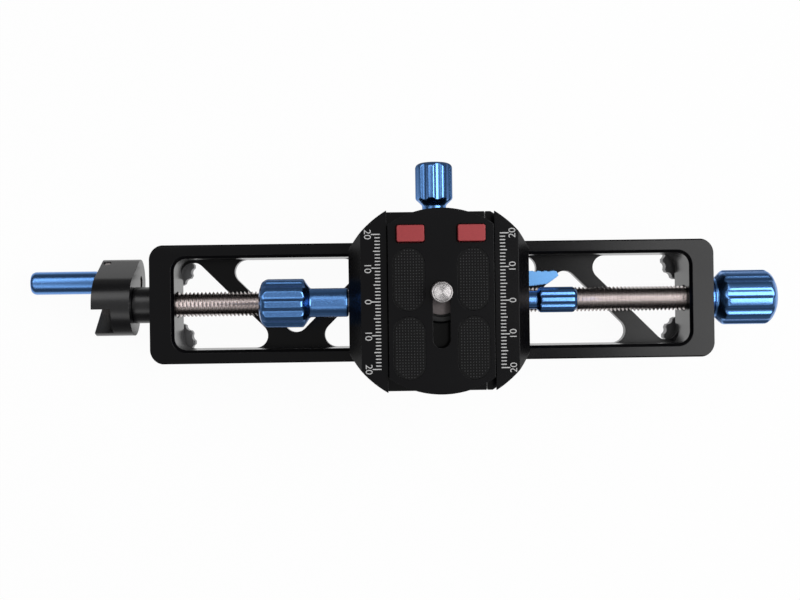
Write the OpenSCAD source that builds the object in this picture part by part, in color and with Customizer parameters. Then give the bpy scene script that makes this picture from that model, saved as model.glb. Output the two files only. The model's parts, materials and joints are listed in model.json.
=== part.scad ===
// Macro focusing rail: a dovetail rail with a lead screw, a sliding saddle
// and a turning quick-release clamp with its camera plate.
// Frame: origin at the mouth of the tripod thread, in the middle of the rail's
// underside. +X runs along the rail towards the drive knob, +Z points up.

/* [Rail] */
// Length of the rail frame
rail_l = 180; // [165:1:220]
// Width across the top flange
rail_w = 37.8; // [37:0.1:40]
// Width across the lower clamping dovetail
dove_w = 38; // [37:0.1:40]
// Height of the rail frame
rail_h = 20; // [19.5:0.1:23]
// Thickness of the long side walls at the top
side_wall = 4.35; // [4:0.05:4.8]
// Thickness of the two end walls
end_wall = 7.7; // [7:0.1:10]
// Chamfer along the inner top edge of the window
window_chamfer = 0.95; // [0.4:0.05:1.2]
// Radius of the frame's outer corners
corner_r = 4; // [2:0.5:6]
// Radius of the window's corners
window_r = 4; // [2:0.5:6]
// Height of the vertical edge of the top flange
flange_h = 6; // [5:0.1:7]
// Depth of the groove under the top flange
groove_d = 2.4; // [1.6:0.1:2.6]
// Height of the vertical edge of the lower dovetail
dove_lip = 1.6; // [1:0.1:2.2]
// Thickness of the truss floor
floor_t = 4; // [3:0.1:5]
// Width of the truss bars
truss_bar = 5; // [4:0.1:6]
// Fillet radius in the truss holes
truss_fillet = 4; // [2:0.1:5]
// Length of the threaded pad in the middle of the floor
pad_l = 44; // [40:1:50]
// Width of the threaded pad
pad_w = 20; // [16:0.5:24]
// Thickness of the threaded pad
pad_t = 6; // [5:0.1:6.2]
// Corner radius of the threaded pad
pad_r = 6; // [4:0.5:8]
// Wall radius of the large tripod thread
tripod_r = 4; // [3.9:0.05:4.1]
// Wall radius of the two small tripod threads
small_tripod_r = 2.6; // [2.5:0.05:2.8]
// Distance from the large tripod thread to each small one
tripod_pitch = 15; // [12:0.5:16]

/* [Lead screw] */
// Outer diameter of the thread
screw_d = 8; // [7:0.1:8.2]
// Pitch of the thread
screw_pitch = 1.25; // [1:0.05:1.5]
// Depth of the thread
thread_h = 0.65; // [0.3:0.05:0.8]
// Depth of the screw's axis under the rail's top
screw_drop = 8.2; // [8:0.1:8.6]
// Diameter of the journals in the bushes
journal_d = 7; // [6.6:0.1:7.4]
// Diameter of the ends that carry the knob and the crank
spigot_d = 6; // [5:0.1:6.4]
// Outer diameter of the end bushes
bush_d = 12; // [10:0.1:13]
// Length of the end bushes
bush_l = 5; // [3:0.1:5.5]

/* [Drive knob] */
// Diameter over the knob's lobes
drive_d = 17.7; // [14:0.1:18]
// Distance from the rail's end to the knob's end
drive_l = 22; // [18:0.1:26]
// Number of flutes
drive_flutes = 10; // [8:1:12]
// Depth of the flutes
flute_h = 0.9; // [0.3:0.05:1.2]
// Step from the knob's neck up to its lobes
drive_step = 2.65; // [1.5:0.05:3.2]

/* [Crank] */
// Radius of the crank's hub
hub_r = 9.8; // [9:0.1:11]
// Radius of the crank arm's free end
arm_end_r = 7.5; // [7:0.1:8.5]
// Distance from the screw's axis to the handle's pivot
crank_c = 13.4; // [12:0.1:15]
// Thickness of the crank arm along the screw
arm_t = 12.1; // [11.5:0.1:14]
// Angle of the arm below the horizontal at rest
arm_angle = 55; // [40:1:70]
// Length of the spacer collar between rail and crank
collar_l = 5.95; // [4:0.05:8]
// Diameter of the spacer collar
collar_d = 11.7; // [10:0.1:13]
// Width of the slot that takes the folded handle
slot_w = 9.2; // [9:0.1:10]
// Depth of that slot
slot_depth = 6.1; // [5.9:0.1:6.4]
// Distance of the handle's pivot pin behind the arm's outer face
pin_inset = 1.9; // [1.8:0.1:2.1]
// Diameter of the handle grip
grip_d = 7.56; // [6.5:0.02:7.8]
// Reach of the handle from its pivot to its tip
grip_reach = 25.8; // [22:0.1:30]

/* [Saddle] */
// Length of the saddle along the rail
saddle_l = 51; // [48:0.5:52]
// Width of the saddle across the rail
saddle_w = 49.2; // [48.4:0.2:52]
// Thickness of the saddle above the rail
saddle_t = 9.7; // [9.2:0.1:11]
// How far the saddle's cheeks reach below the rail's top
cheek_h = 10.5; // [10:0.1:11]
// Place of the saddle along the rail at rest
carriage_x = 0.9; // [-10:0.1:10]
// Length of the nut housing
housing_l = 40; // [38.5:0.5:42]
// Gap between the nut housing and the window's side walls
housing_gap = 0.75; // [0.4:0.05:1.2]
// Height of the retaining disc's recess under the saddle
recess_h = 2; // [1.8:0.1:2.4]
// Diameter of the clamp's turning spigot
spigot_turn_d = 22; // [20:0.1:22.4]

/* [Carriage lock] */
// Diameter over the lock knob's lobes
lock_d = 11.9; // [10:0.1:12.4]
// Distance from the rail's axis to the lock knob's end
lock_reach = 44.5; // [42:0.1:48]
// Length of the fluted part of the lock knob
lock_body = 11.8; // [10:0.1:12.6]
// Diameter of the lock knob's neck
lock_neck = 7.7; // [6.8:0.1:8.4]
// Number of flutes on the lock knob
lock_flutes = 8; // [6:1:10]
// Diameter of the lock screw
lock_screw_d = 5; // [4:0.1:5.4]
// Diameter of the brake shoe
shoe_d = 7; // [6:0.1:7.4]
// Thickness of the brake shoe
shoe_t = 1.6; // [1.2:0.1:1.8]

/* [Release lever] */
// Thickness of the lever
lever_t = 2.2; // [1.8:0.1:2.4]
// Distance from the lever's pivot to the half nut's drive pin
lever_arm = 9.3; // [8.8:0.1:9.6]
// Reach of the lever's tip past the saddle's end
lever_reach = 13.4; // [11:0.1:15]
// Width of the lever's tab
lever_w = 4.8; // [4:0.1:5.2]

/* [Clamp] */
// Width of the clamp body across its flats, along the rail
clamp_w = 54.4; // [53.6:0.1:56]
// Length of the clamp body across its flats, across the rail
clamp_l = 54; // [52:0.1:56]
// How far the clamp's round outline reaches past half its width
clamp_bulge = 4.1; // [3.7:0.1:4.6]
// Height of the clamp body
clamp_h = 16.7; // [16:0.1:18]
// Depth of the plate channel
channel_h = 6.5; // [6:0.1:6.8]
// Width of the sloping shoulders beside the jaws
shoulder = 3.7; // [2:0.1:5]
// Height of the sloping shoulders
shoulder_h = 5.6; // [4:0.1:6]
// How far the moving jaw stands open at rest
jaw_open = 0.4; // [0.2:0.05:1]
// Depth of the engraved scale marks
mark_h = 0.15; // [0.1:0.05:0.3]
// Number of millimetre marks each side of zero
mark_count = 20; // [10:1:22]
// Distance from the plate's edge to the scale marks
mark_inset = 1.7; // [1.4:0.1:2.4]

/* [Clamp knob] */
// Diameter over the clamp knob's lobes
clamp_knob_d = 14.9; // [13:0.1:15.4]
// Length of the fluted part of the clamp knob
clamp_knob_l = 13.3; // [11:0.1:15]
// Length of the sleeve between body and knob
sleeve_l = 11.9; // [10:0.1:14]
// Diameter of the sleeve
sleeve_d = 8.8; // [8:0.1:9.4]
// Number of flutes on the clamp knob
clamp_flutes = 10; // [8:1:12]
// Diameter of the clamp screw
clamp_screw_d = 5; // [4.5:0.1:5.2]
// Depth of the clamp screw's axis under the channel's floor
clamp_screw_drop = 3.6; // [3.5:0.05:3.7]
// Diameter of the moving jaw's guide rods
guide_d = 3; // [2.6:0.1:3.4]
// Distance of the guide rods from the clamp screw
guide_y = 18; // [16:0.5:20]

/* [Pan lock] */
// Diameter over the pan lock knob's lobes
pan_d = 8; // [7:0.1:8.2]
// Length of the pan lock knob
pan_l = 12.6; // [10:0.1:15]
// Length of its neck outside the saddle
pan_neck = 5.9; // [4:0.1:8]
// Number of flutes on the pan lock knob
pan_flutes = 8; // [6:1:10]
// Diameter of the pan lock screw
pan_screw_d = 4; // [3:0.1:4.4]

/* [Camera plate] */
// Visible width of the plate
plate_w = 31.4; // [30:0.1:32]
// Width across the plate's dovetail
plate_dove_w = 38; // [37:0.1:38.4]
// Radius of the plate's outline
plate_r = 27.6; // [26:0.1:28.4]
// Thickness of the plate
plate_t = 8.2; // [8:0.1:9]
// Offset of the plate's middle from the clamp's turning axis
plate_x = 0.3; // [0.2:0.05:0.4]
// Width of the screw slot
plate_slot_w = 5.2; // [5.1:0.05:5.6]
// Place of the camera screw across the rail
screw_y = 2.6; // [2:0.1:4]
// Length of travel of the camera screw in its slot
slot_travel = 14; // [10:0.5:15]
// Width of a rubber pad
rubber_w = 9.4; // [8:0.1:9.8]
// Length of a rubber pad
rubber_l = 18.7; // [16:0.1:18.8]
// Height that the rubber pads stand proud
rubber_h = 0.35; // [0.1:0.05:0.8]
// Distance between the two columns of rubber pads
rubber_x = 19.1; // [18:0.1:19.6]
// Width of an anti-twist stop
stop_w = 8.1; // [7:0.1:8.4]
// Depth of an anti-twist stop
stop_d = 4.9; // [4:0.1:5.2]
// Height that a stop stands above the plate
stop_h = 2; // [1:0.1:2.4]
// Distance between the two stops
stop_x = 18; // [17.6:0.1:18.4]
// Place of the stops across the rail
stop_y = 20; // [19.6:0.1:20.2]

/* [Camera screw] */
// Diameter of the camera thread
camera_d = 6.35; // [6.2:0.05:6.4]
// Height of the camera thread above the plate
camera_h = 5; // [4:0.1:6]
// Diameter of the camera screw's shank
shank_d = 5; // [4.6:0.05:5]
// Diameter of the camera screw's head
head_d = 18.6; // [17.6:0.1:18.8]
// Thickness of the camera screw's head
head_t = 2.5; // [2:0.1:2.8]
// Diameter of the washer between head and plate
washer_d = 13.4; // [12:0.1:14]
// Inner diameter of the raised rim on the head, round the washer
rim_d = 14.6; // [14.2:0.1:16]

/* [Feet] */
// Diameter over the lobes of a foot
foot_d = 14.2; // [12:0.1:14.6]
// Thickness of a foot's disc
foot_t = 4.6; // [3:0.1:6]
// Distance between the rail's underside and the disc
foot_gap = 2.9; // [2.6:0.1:5]
// Thickness of the rubber sole
sole_t = 0.8; // [0.5:0.1:1.5]
// Distance of a foot's axis from the rail's middle plane
foot_y = 12.8; // [11:0.1:13]
// Diameter of a foot's stud
stud_d = 5; // [4:0.1:5.4]
// Height that a stud reaches into the rail
stud_h = 4.5; // [3.5:0.1:5]
// Number of lobes on a foot
foot_lobes = 12; // [8:1:16]

/* [Fits] */
// Radial running clearance of shafts in bores
run = 0.04; // [0.02:0.01:0.08]
// Clearance between a pressed or bonded piece and its seat
seat = 0.02; // [0.01:0.01:0.04]
// Gap between faces that slide past each other
gap = 0.3; // [0.25:0.01:0.35]

/* [Hidden] */
$fn = 64;
e = 0.01;                                     // overlap that keeps cuts clean
over = 1;                                     // how far a cut reaches past a face
flute_share = 0.66;                           // flute's radius against half a lobe's width
clamp_r = clamp_w / 2 + clamp_bulge;          // radius of the clamp's outline
end_gap = 0.15;                               // rail's end to the pieces that turn beside it
edge_cut = 0.4;                               // broken edge along the rail's top
grub_r = 1.5;                                 // set screws in knob and crank
window_l = rail_l - 2 * end_wall;
window_w = rail_w - 2 * side_wall;
waist = rail_w / 2 - groove_d;                // half width of the rail's waist
screw_z = rail_h - screw_drop;
wall_bore_r = screw_d / 2 + gap;

saddle_z = rail_h + gap;                      // underside of the saddle
saddle_top = saddle_z + saddle_t;
cheek_z = rail_h - cheek_h;
side_gap = 0.2;                               // between cheeks and flange
under_gap = 0.28;                             // under the flange's slope
saddle_inset = 1.5;                           // saddle's outline inside the clamp's
cheek_in = rail_w / 2 + side_gap;
housing_w = window_w - 2 * housing_gap;
housing_z = pad_t + 0.6;                      // underside of the nut housing
housing_wall = 1.8;
housing_floor = 1.4;                          // under the half nut
housing_r = 3;
housing_screw_r = 1.5;
screw_depth = 4.6;                            // reach of the housing screws into the saddle
pin_depth = 7;                                // reach of the lever's pin into the saddle
housing_screw_x = 16.5;
housing_screw_y = 9.8;

turn_r = spigot_turn_d / 2;
turn_bore_r = turn_r + run;
recess_r = turn_r + 1.8;
disc_r = recess_r - gap;
disc_top = saddle_z + recess_h - 0.2;         // where the retaining disc meets the spigot
pan_z = saddle_z + 4.8;                       // axis of the pan lock screw
groove_r = turn_r - 1.2;                      // bottom of the pan lock's groove
pad_tip = 0.6;                                // radius of the pan lock pad's tip
pad_gap = 0.35;                               // pad to groove when loose
pad_end = 2.6;                                // how far the pad reaches into its bore
pan_step = 1.2;                               // step from the pan lock's neck to its lobes

clamp_z = saddle_top + gap;
clamp_top = clamp_z + clamp_h;
channel_z = clamp_top - channel_h;
clamp_screw_z = channel_z - clamp_screw_drop;
plate_z = channel_z + gap;
plate_top = plate_z + plate_t;
left_edge = plate_x - plate_w / 2;            // plate edges from the turning axis
right_edge = plate_x + plate_w / 2;
dove_gap = 0.3;                               // side gap between plate and jaws
split_x = 14;                                 // end face of the body towards the jaw
mark_w = 0.4;
mark_long = 2.7;                              // marks at the tens, the fives and the rest
mark_mid = 2.1;
mark_short = 1.65;
screw_room = 0.15;                            // round the clamp screw in the body
guide_wall = 3.5;                             // jaw left beyond the guide rods' bores
guide_in = 10;                                // depth of the body's bores past its middle
guide_start = -3.5;                           // inner end of the rods at rest
jaw_wall = 2;                                 // jaw left beyond the clamp screw
retainer_screw_r = 2;
retainer_head_r = 3.25;
retainer_head_t = 1.2;
retainer_depth = 6;                           // reach of its screw into the spigot
plate_flare = (plate_dove_w - plate_w) / 2;
plate_lip = 1.6;
jaw_in = split_x + gap;                       // inner face of the moving jaw
spring_l = 7;                                 // pocket of a jaw spring
spring_wire = 0.6;

lock_z = rail_h - flange_h / 2;
shoe_gap = 0.35;                              // shoe to rail flange when loose
shoe_room = shoe_t + 0.4;                     // depth of the shoe's pocket
neck_cone = 2;
knob_bore = 4;                                // depth of a knob's bore past its neck

lever_z = saddle_z + gap;
lever_pocket_h = lever_t + 2 * gap;
pocket_side = 2.2;                            // room beside the lever
lever_boss_r = 3;
grip_notches = 3;                             // finger grip on the lever's back edge
notch_pitch = 2.1;
notch_r = 1;
pivot_y = 6.6;
drive_pin_x = 13.8;                           // half nut's pin from the turning axis
drive_pin_y = 6.2;
drive_pin_r = 1.4;
pivot_x = drive_pin_x + lever_arm;
pivot_r = 1.5;
nut_l = 8.4;
nut_back = 8.5;                               // back face of the half nut
nut_front = 1;                                // its front face, beside the screw's axis
nut_spring_r = 2.2;
nut_top = screw_z + 4.6;
nut_pocket_w = housing_w / 2 - housing_wall;

crank_in = -rail_l / 2 - end_gap - collar_l;  // inner face of the crank arm
crank_out = crank_in - arm_t;
slot_floor = crank_out + slot_depth;
grip_x = crank_out + pin_inset;
eye_r = grip_d / 2 - 0.03;
stem_r = 2;
grip_cap = 2.4;                               // wall over the stem's end
grip_round = 1.2;
pivot_pin_r = 1.3;
grip_start = eye_r + 0.35;
grub_x = 2.8;                                 // crank's set screw from its inner face
drive_grub_x = 3.6;                           // knob's set screw from the rail's end
drive_socket = 14.3;                          // depth of the knob's bore
detent_r = 2;
detent_tip_r = 1;

ledge_t = 4;                                  // plate left above the head groove
washer_t = 0.8;
play = 0.1;                                   // between faces that only just clear
head_groove_r = head_d / 2 + gap;
head_edge = 0.6;                              // chamfer round the head
rim_h = 0.6;
thread_tip = 0.3;                             // chamfer on the camera thread's end
coin_slot_w = 2;
coin_slot_h = 1.2;
pad_bed = 0.8;                                // depth of the rubber pads' beds
rubber_y = -2.9;                              // lower end of the upper pads
rubber_gap = 1.6;                             // between the pads of a column
keyhole_r = camera_d / 2 + 0.2;
head_z = plate_top - ledge_t - washer_t - 2 * play - head_t;
stop_flange = 0.6;                            // step that holds the stop in
stop_flange_t = 1;
stop_ledge = 2.2;                             // plate above the stop's flange
stop_bottom = plate_top - stop_ledge - stop_flange_t - play;
stop_r = 0.6;
stop_spring_r = 1.8;
cover_r = 2;
cover_t = 1;
cover_rim = 1.5;                              // cover beyond the stops
cover_l = stop_x + stop_w + 2 * cover_rim;
cover_w = stop_d + 2 * cover_rim;

foot_x = rail_l / 2 - end_wall / 2;
foot_top = -foot_gap;
foot_bottom = foot_top - foot_t;
stud_hole = 8;
sole_edge = 1.6;                              // how far the sole stays inside the lobes
lobe_r = 1.6;
lobe_out = 0.9;                               // the lobe cutter's axis from the lobes' circle

// rounded ends of the knobs: how far in from the lobes, and how far from the end
drive_crown = [[0, 3.2], [1.2, 1.7], [3.2, 0.5], [5.4, 0]];
lock_crown = [[0, 1.5], [0.5, 0.7], [1.6, 0.2], [3.2, 0]];
clamp_crown = [[0, 2.2], [1, 0.8], [3.2, 0]];
pan_crown = [[0, 1.1], [1, 0]];
drive_turn = 11.5;                            // where each knob's flutes stand at rest
lock_turn = 33;
clamp_turn = 3.3;

black = [0.09, 0.09, 0.1];
blue = [0.16, 0.36, 0.68];
sky = [0.42, 0.66, 0.9];
steel = [0.72, 0.7, 0.68];
grey = [0.55, 0.56, 0.58];
bronze = [0.66, 0.5, 0.28];
red = [0.72, 0.26, 0.28];
rubber = [0.16, 0.16, 0.17];

// ---------------------------------------------------------------- helpers

// turns a shape that stands on Z so that it lies along X
module to_x() rotate([0, 90, 0]) children();

// turns a shape that stands on Z so that it lies along Y
module to_y() rotate([-90, 0, 0]) children();

module rod_x(r, x0, x1) translate([x0, 0, 0]) to_x() cylinder(r = r, h = x1 - x0);

module rod_y(r, y0, y1) translate([0, y0, 0]) to_y() cylinder(r = r, h = y1 - y0);

module rod_z(r, z0, z1) translate([0, 0, z0]) cylinder(r = r, h = z1 - z0);

// box from its lowest and highest corners
module block(a, b) translate(a) cube(b - a);

// rectangle centred on the origin with rounded corners
module round_rect(x, y, r) {
    square([x - 2 * r, y], center = true);
    square([x, y - 2 * r], center = true);
    for (sx = [-1, 1], sy = [-1, 1])
        translate([sx * (x / 2 - r), sy * (y / 2 - r)]) circle(r);
}

// slot with round ends, from y0 to y1 at its end centres
module slot_2d(w, y0, y1) {
    translate([-w / 2, y0]) square([w, y1 - y0]);
    translate([0, y0]) circle(w / 2);
    translate([0, y1]) circle(w / 2);
}

// convex polygon, counter-clockwise, with every corner rounded to r
function unit(v) = v / norm(v);
function outward(a, b) = let (d = unit(b - a)) [d[1], -d[0]];
function inset_corner(a, b, c, r) =
    let (n1 = outward(a, b), n2 = outward(b, c), m = unit(n1 + n2))
    b - m * (r / (m * n1));
module round_poly(p, r) {
    n = len(p);
    corners = [for (i = [0 : n - 1]) inset_corner(p[(i + n - 1) % n], p[i], p[(i + 1) % n], r)];
    polygon([for (i = [0 : n - 1], k = [0, 1])
        corners[i] + r * (k == 0 ? outward(p[(i + n - 1) % n], p[i]) : outward(p[i], p[(i + 1) % n]))]);
    for (c = corners) translate(c) circle(r);
}

// link between two discs whose centres are c apart along X, its flanks a hair inside the tangents
module link_2d(r1, r2, c) {
    a = acos((r1 - r2) / c);
    t = [cos(a), sin(a)];
    p1 = (r1 - e) * t;
    p2 = [c, 0] + (r2 - e) * t;
    circle(r1);
    translate([c, 0]) circle(r2);
    polygon([[p1[0], -p1[1]], [p2[0], -p2[1]], p2, p1]);
}

// turned body with n shallow flutes along its whole length
module fluted(profile, r, n, turn = 0) {
    cutter = flute_share * PI * r / n;
    reach = max([for (p = profile) p[1]]);
    start = min([for (p = profile) p[1]]);
    difference() {
        rotate_extrude() polygon(profile);
        for (i = [0 : n - 1])
            rotate(turn + 360 * (i + 0.5) / n)
                translate([r - flute_h / 2 + cutter, 0, start - over])
                    cylinder(r = cutter + flute_h / 2, h = reach - start + 2 * over);
    }
}

// the rounded end of a knob of radius r that ends at l
function crown(list, r, l) = [for (c = list) [r - c[0], l - c[1]]];

// outline of the clamp: a circle with four flats
module clamp_2d(shrink = 0) intersection() {
    circle(clamp_r - shrink);
    square([clamp_w - 2 * shrink, clamp_l - 2 * shrink], center = true);
}

// plain sleeve that stands for a hidden coil spring, along Z
module spring_tube(r, z0, z1) difference() {
    rod_z(r, z0, z1);
    rod_z(r - spring_wire, z0 - over, z1 + over);
}

// everything that slides with the saddle is drawn about the turning axis
module on_carriage() translate([carriage_x, 0, 0]) children();

// ---------------------------------------------------------------- rail

// cross-section of the rail, from the origin at its underside
module rail_profile() {
    b = rail_w / 2;
    w = waist;
    half = [[dove_w / 2, 0], [dove_w / 2, dove_lip], [w, dove_lip + dove_w / 2 - w],
            [w, rail_h - flange_h - (b - w)], [b, rail_h - flange_h],
            [b, rail_h - edge_cut], [b - edge_cut, rail_h]];
    n = len(half);
    polygon(concat(half, [for (i = [0 : n - 1]) [-half[n - 1 - i][0], half[n - 1 - i][1]]]));
}

// window with its chamfered rim
module window_cut() {
    translate([0, 0, floor_t]) linear_extrude(rail_h) round_rect(window_l, window_w, window_r);
    c = window_chamfer;
    sx = window_l / 2 - window_r;
    sy = window_w / 2 - window_r;
    translate([-sx, 0, rail_h]) rotate([90, 0, 90]) linear_extrude(2 * sx)
        polygon([[-window_w / 2, -c], [window_w / 2, -c],
                 [window_w / 2 + c + e, e], [-window_w / 2 - c - e, e]]);
    translate([0, sy, rail_h]) rotate([90, 0, 0]) linear_extrude(2 * sy)
        polygon([[-window_l / 2, -c], [window_l / 2, -c],
                 [window_l / 2 + c + e, e], [-window_l / 2 - c - e, e]]);
    for (a = [-1, 1], b = [-1, 1])
        translate([a * sx, b * sy, rail_h - c]) cylinder(r1 = window_r, r2 = window_r + c + e, h = c + e);
}

// the three truss holes of one half, as corner lists
bar_x = truss_bar * sqrt(2);                  // width of a sloping bar measured along X
apex_y = window_w / 2 - truss_bar + truss_fillet * (sqrt(2) - 1);
mid_bar = 3.9;                                // half width of the middle bar along X
hole_corner = 1;
apex_x = -mid_bar - apex_y;
low_x = apex_x - apex_y - bar_x;              // right side of the second hole meets y = 0 here
hole_b_x = low_x - apex_y;
edge_y = window_w / 2;
hole_a = [[-window_l / 2, -edge_y],
          [hole_b_x - apex_y - bar_x + edge_y, -edge_y],
          [-window_l / 2, hole_b_x - apex_y - bar_x + window_l / 2]];
hole_b = [[hole_b_x, -apex_y], [low_x + edge_y, edge_y],
          [hole_b_x - apex_y - edge_y, edge_y]];
hole_c = [[apex_x - apex_y - edge_y, -edge_y], [apex_x + apex_y + edge_y, -edge_y],
          [apex_x, apex_y]];

module truss_holes() {
    for (turn = [0, 180]) rotate(turn) for (h = [hole_a, hole_b, hole_c])
        translate([0, 0, -over]) linear_extrude(floor_t + over + e) intersection() {
            round_poly(h, truss_fillet);
            round_rect(window_l, window_w, hole_corner);
        }
}

module tripod_pad() linear_extrude(pad_t) round_rect(pad_l, pad_w, pad_r);

module rail_frame() color(black) difference() {
    union() {
        difference() {
            intersection() {
                translate([-rail_l / 2, 0, 0]) rotate([90, 0, 90]) linear_extrude(rail_l) rail_profile();
                translate([0, 0, -over]) linear_extrude(rail_h + 2 * over)
                    round_rect(rail_l, dove_w + over, corner_r);
            }
            window_cut();
            truss_holes();
        }
        tripod_pad();
    }
    rod_z(tripod_r, -over, pad_t + over);
    for (s = [-1, 1]) translate([s * tripod_pitch, 0, 0]) rod_z(small_tripod_r, -over, pad_t + over);
    for (s = [-1, 1]) translate([0, 0, screw_z]) {
        rod_x(wall_bore_r, s * rail_l / 2 - end_wall - over, s * rail_l / 2 + end_wall + over);
        rod_x(bush_d / 2 + seat, s * (rail_l / 2 + over) - (s > 0 ? bush_l + over : 0),
              s * (rail_l / 2 + over) + (s > 0 ? 0 : bush_l + over));
    }
    for (sx = [-1, 1], sy = [-1, 1])
        translate([sx * foot_x, sy * foot_y, 0]) rod_z(stud_d / 2 + run, -over, stud_hole);
}

module screw_bush(side) color(bronze) translate([0, 0, screw_z]) difference() {
    rod_x(bush_d / 2, side * rail_l / 2 - (side > 0 ? bush_l : 0),
          side * rail_l / 2 + (side > 0 ? 0 : bush_l));
    rod_x(journal_d / 2 + run, -rail_l, rail_l);
}

module screw_bush_left() screw_bush(-1);

module screw_bush_right() screw_bush(1);

// ---------------------------------------------------------------- lead screw

thread_end = rail_l / 2 - bush_l - play;
turns = floor(2 * thread_end / screw_pitch) - 1;
thread_start = -turns * screw_pitch / 2;

module lead_screw() color(steel) translate([0, 0, screw_z]) {
    r = screw_d / 2;
    knob_end = rail_l / 2 + drive_socket - gap;
    to_x() rotate_extrude() polygon(concat(
        [[0, slot_floor + gap], [spigot_d / 2, slot_floor + gap], [spigot_d / 2, -rail_l / 2 - play],
         [journal_d / 2, -rail_l / 2 - play], [journal_d / 2, -thread_end], [r, -thread_end]],
        [for (i = [0 : turns], k = [0, 1]) if (i < turns || k == 0)
            [r - k * thread_h, thread_start + (i + k / 2) * screw_pitch]],
        [[r, thread_end], [journal_d / 2, thread_end], [journal_d / 2, rail_l / 2 + play],
         [spigot_d / 2, rail_l / 2 + play], [spigot_d / 2, knob_end], [0, knob_end]]));
}

// profile as radius and distance from the rail's end, with a bead next to the rail
module drive_knob() color(blue) translate([rail_l / 2, 0, screw_z]) to_x() difference() {
    r = drive_d / 2;
    l = drive_l;
    neck = r - drive_step;
    neck_end = 2.1;
    bead = 0.15;
    bead_x = 1.1;
    fluted(concat([[0, gap], [neck, gap], [neck, bead_x - bead], [neck - 2 * bead, bead_x],
                   [neck, bead_x + bead], [neck, neck_end], [r, neck_end + drive_step]],
                  crown(drive_crown, r, l), [[0, l]]), r, drive_flutes, drive_turn);
    rod_z(spigot_d / 2 + seat, 0, drive_socket);
    translate([0, 0, drive_grub_x]) rotate([0, 90, 0]) cylinder(r = grub_r + seat, h = r + over);
}

module knob_grub_screw() color(steel)
    translate([rail_l / 2 + drive_grub_x, 0, screw_z])
        rod_z(grub_r, -drive_d / 2 + drive_step, -spigot_d / 2 - play);

// draws children about the screw's axis with the arm along +Y before it is swung down
module on_crank() translate([0, 0, screw_z]) rotate([-arm_angle, 0, 0]) children();

module crank_arm() color(black) on_crank() difference() {
    translate([crank_out, 0, 0]) rotate([90, 0, 90]) linear_extrude(arm_t)
        link_2d(hub_r, arm_end_r, crank_c);
    block([crank_out - over, -hub_r - over, -slot_w / 2],
          [slot_floor, crank_c + eye_r + gap + play, slot_w / 2]);
    rod_x(spigot_d / 2 + seat, slot_floor - over, crank_in + over);
    translate([0, crank_c, 0]) rod_x(detent_r + seat, slot_floor - over, crank_in + over);
    translate([grip_x, crank_c, 0]) rod_z(pivot_pin_r + seat, -arm_end_r - over, arm_end_r + over);
    translate([crank_in - grub_x, 0, 0]) rod_z(grub_r + seat, -hub_r - over, 0);
}

module crank_collar() color(black) translate([0, 0, screw_z]) difference() {
    rod_x(collar_d / 2, crank_in + seat, -rail_l / 2 - end_gap);
    rod_x(spigot_d / 2 + seat, crank_in - over, -rail_l / 2);
}

module crank_grub_screw() color(steel) on_crank()
    translate([crank_in - grub_x, 0, 0]) rod_z(grub_r, -hub_r + 2 * gap, -spigot_d / 2 - play);

module handle_detent() color(steel) on_crank() translate([0, crank_c, 0]) union() {
    rod_x(detent_r, slot_floor + gap, crank_in - gap - play);
    rod_x(detent_tip_r, grip_x + eye_r + play, slot_floor + over);
}

module handle_pivot_pin() color(steel) on_crank()
    translate([grip_x, crank_c, 0])
        rod_z(pivot_pin_r, -arm_end_r + gap + play, arm_end_r - gap - play);

module handle_stem() color(steel) on_crank() translate([grip_x, crank_c, 0]) difference() {
    union() {
        intersection() {
            rod_x(eye_r, -grip_start + play, eye_r);
            union() {
                rod_z(eye_r, -eye_r, eye_r);
                block([-grip_start, -eye_r, -eye_r], [0, eye_r, eye_r]);
            }
        }
        rod_x(stem_r, -grip_reach + grip_cap, -grip_start + over);
    }
    rod_z(pivot_pin_r + run, -slot_w, slot_w);
}

module handle_grip() color(blue) on_crank() translate([grip_x, crank_c, 0]) difference() {
    r = grip_d / 2;
    to_x() rotate_extrude() polygon([[0, -grip_reach], [r - grip_round, -grip_reach],
        [r - 0.3 * grip_round, 0.3 * grip_round - grip_reach], [r, grip_round - grip_reach],
        [r, -grip_start - edge_cut], [r - edge_cut, -grip_start], [0, -grip_start]]);
    rod_x(stem_r + run, -grip_reach + grip_cap - seat, 0);
}

// ---------------------------------------------------------------- saddle

module saddle_2d() intersection() {
    circle(clamp_r - saddle_inset);
    square([saddle_l, saddle_w], center = true);
}

// the space that the rail's flange takes, with its running gap
module flange_space() {
    lip = cheek_in - groove_d + side_gap;
    z0 = cheek_z - over;
    z1 = rail_h - flange_h - under_gap;
    slope = z1 - (cheek_in - lip);
    translate([-saddle_l / 2 - over, 0, 0]) rotate([90, 0, 90]) linear_extrude(saddle_l + 2 * over)
        polygon([[-lip, z0], [lip, z0], [lip, slope], [cheek_in, z1], [cheek_in, saddle_z],
                 [-cheek_in, saddle_z], [-cheek_in, z1], [-lip, slope]]);
}

module saddle() color(black) on_carriage() difference() {
    translate([0, 0, cheek_z]) linear_extrude(saddle_top - cheek_z) saddle_2d();
    flange_space();
    rod_z(turn_bore_r, saddle_z, saddle_top + over);
    rod_z(recess_r, saddle_z - over, saddle_z + recess_h);
    lever_pocket();
    translate([pivot_x, pivot_y, 0]) rod_z(pivot_r + seat, saddle_z, saddle_z + pin_depth + gap);
    translate([0, 0, lock_z]) rod_y(lock_screw_d / 2 + run, cheek_in, saddle_w);
    translate([0, 0, lock_z]) rod_y(shoe_d / 2 + run, cheek_in - over, cheek_in + shoe_room);
    translate([0, 0, pan_z]) rod_x(pan_screw_d / 2 + run, turn_r, saddle_l);
    housing_screw_places() rod_z(housing_screw_r + seat, saddle_z - over, saddle_z + screw_depth + gap);
}

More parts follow.
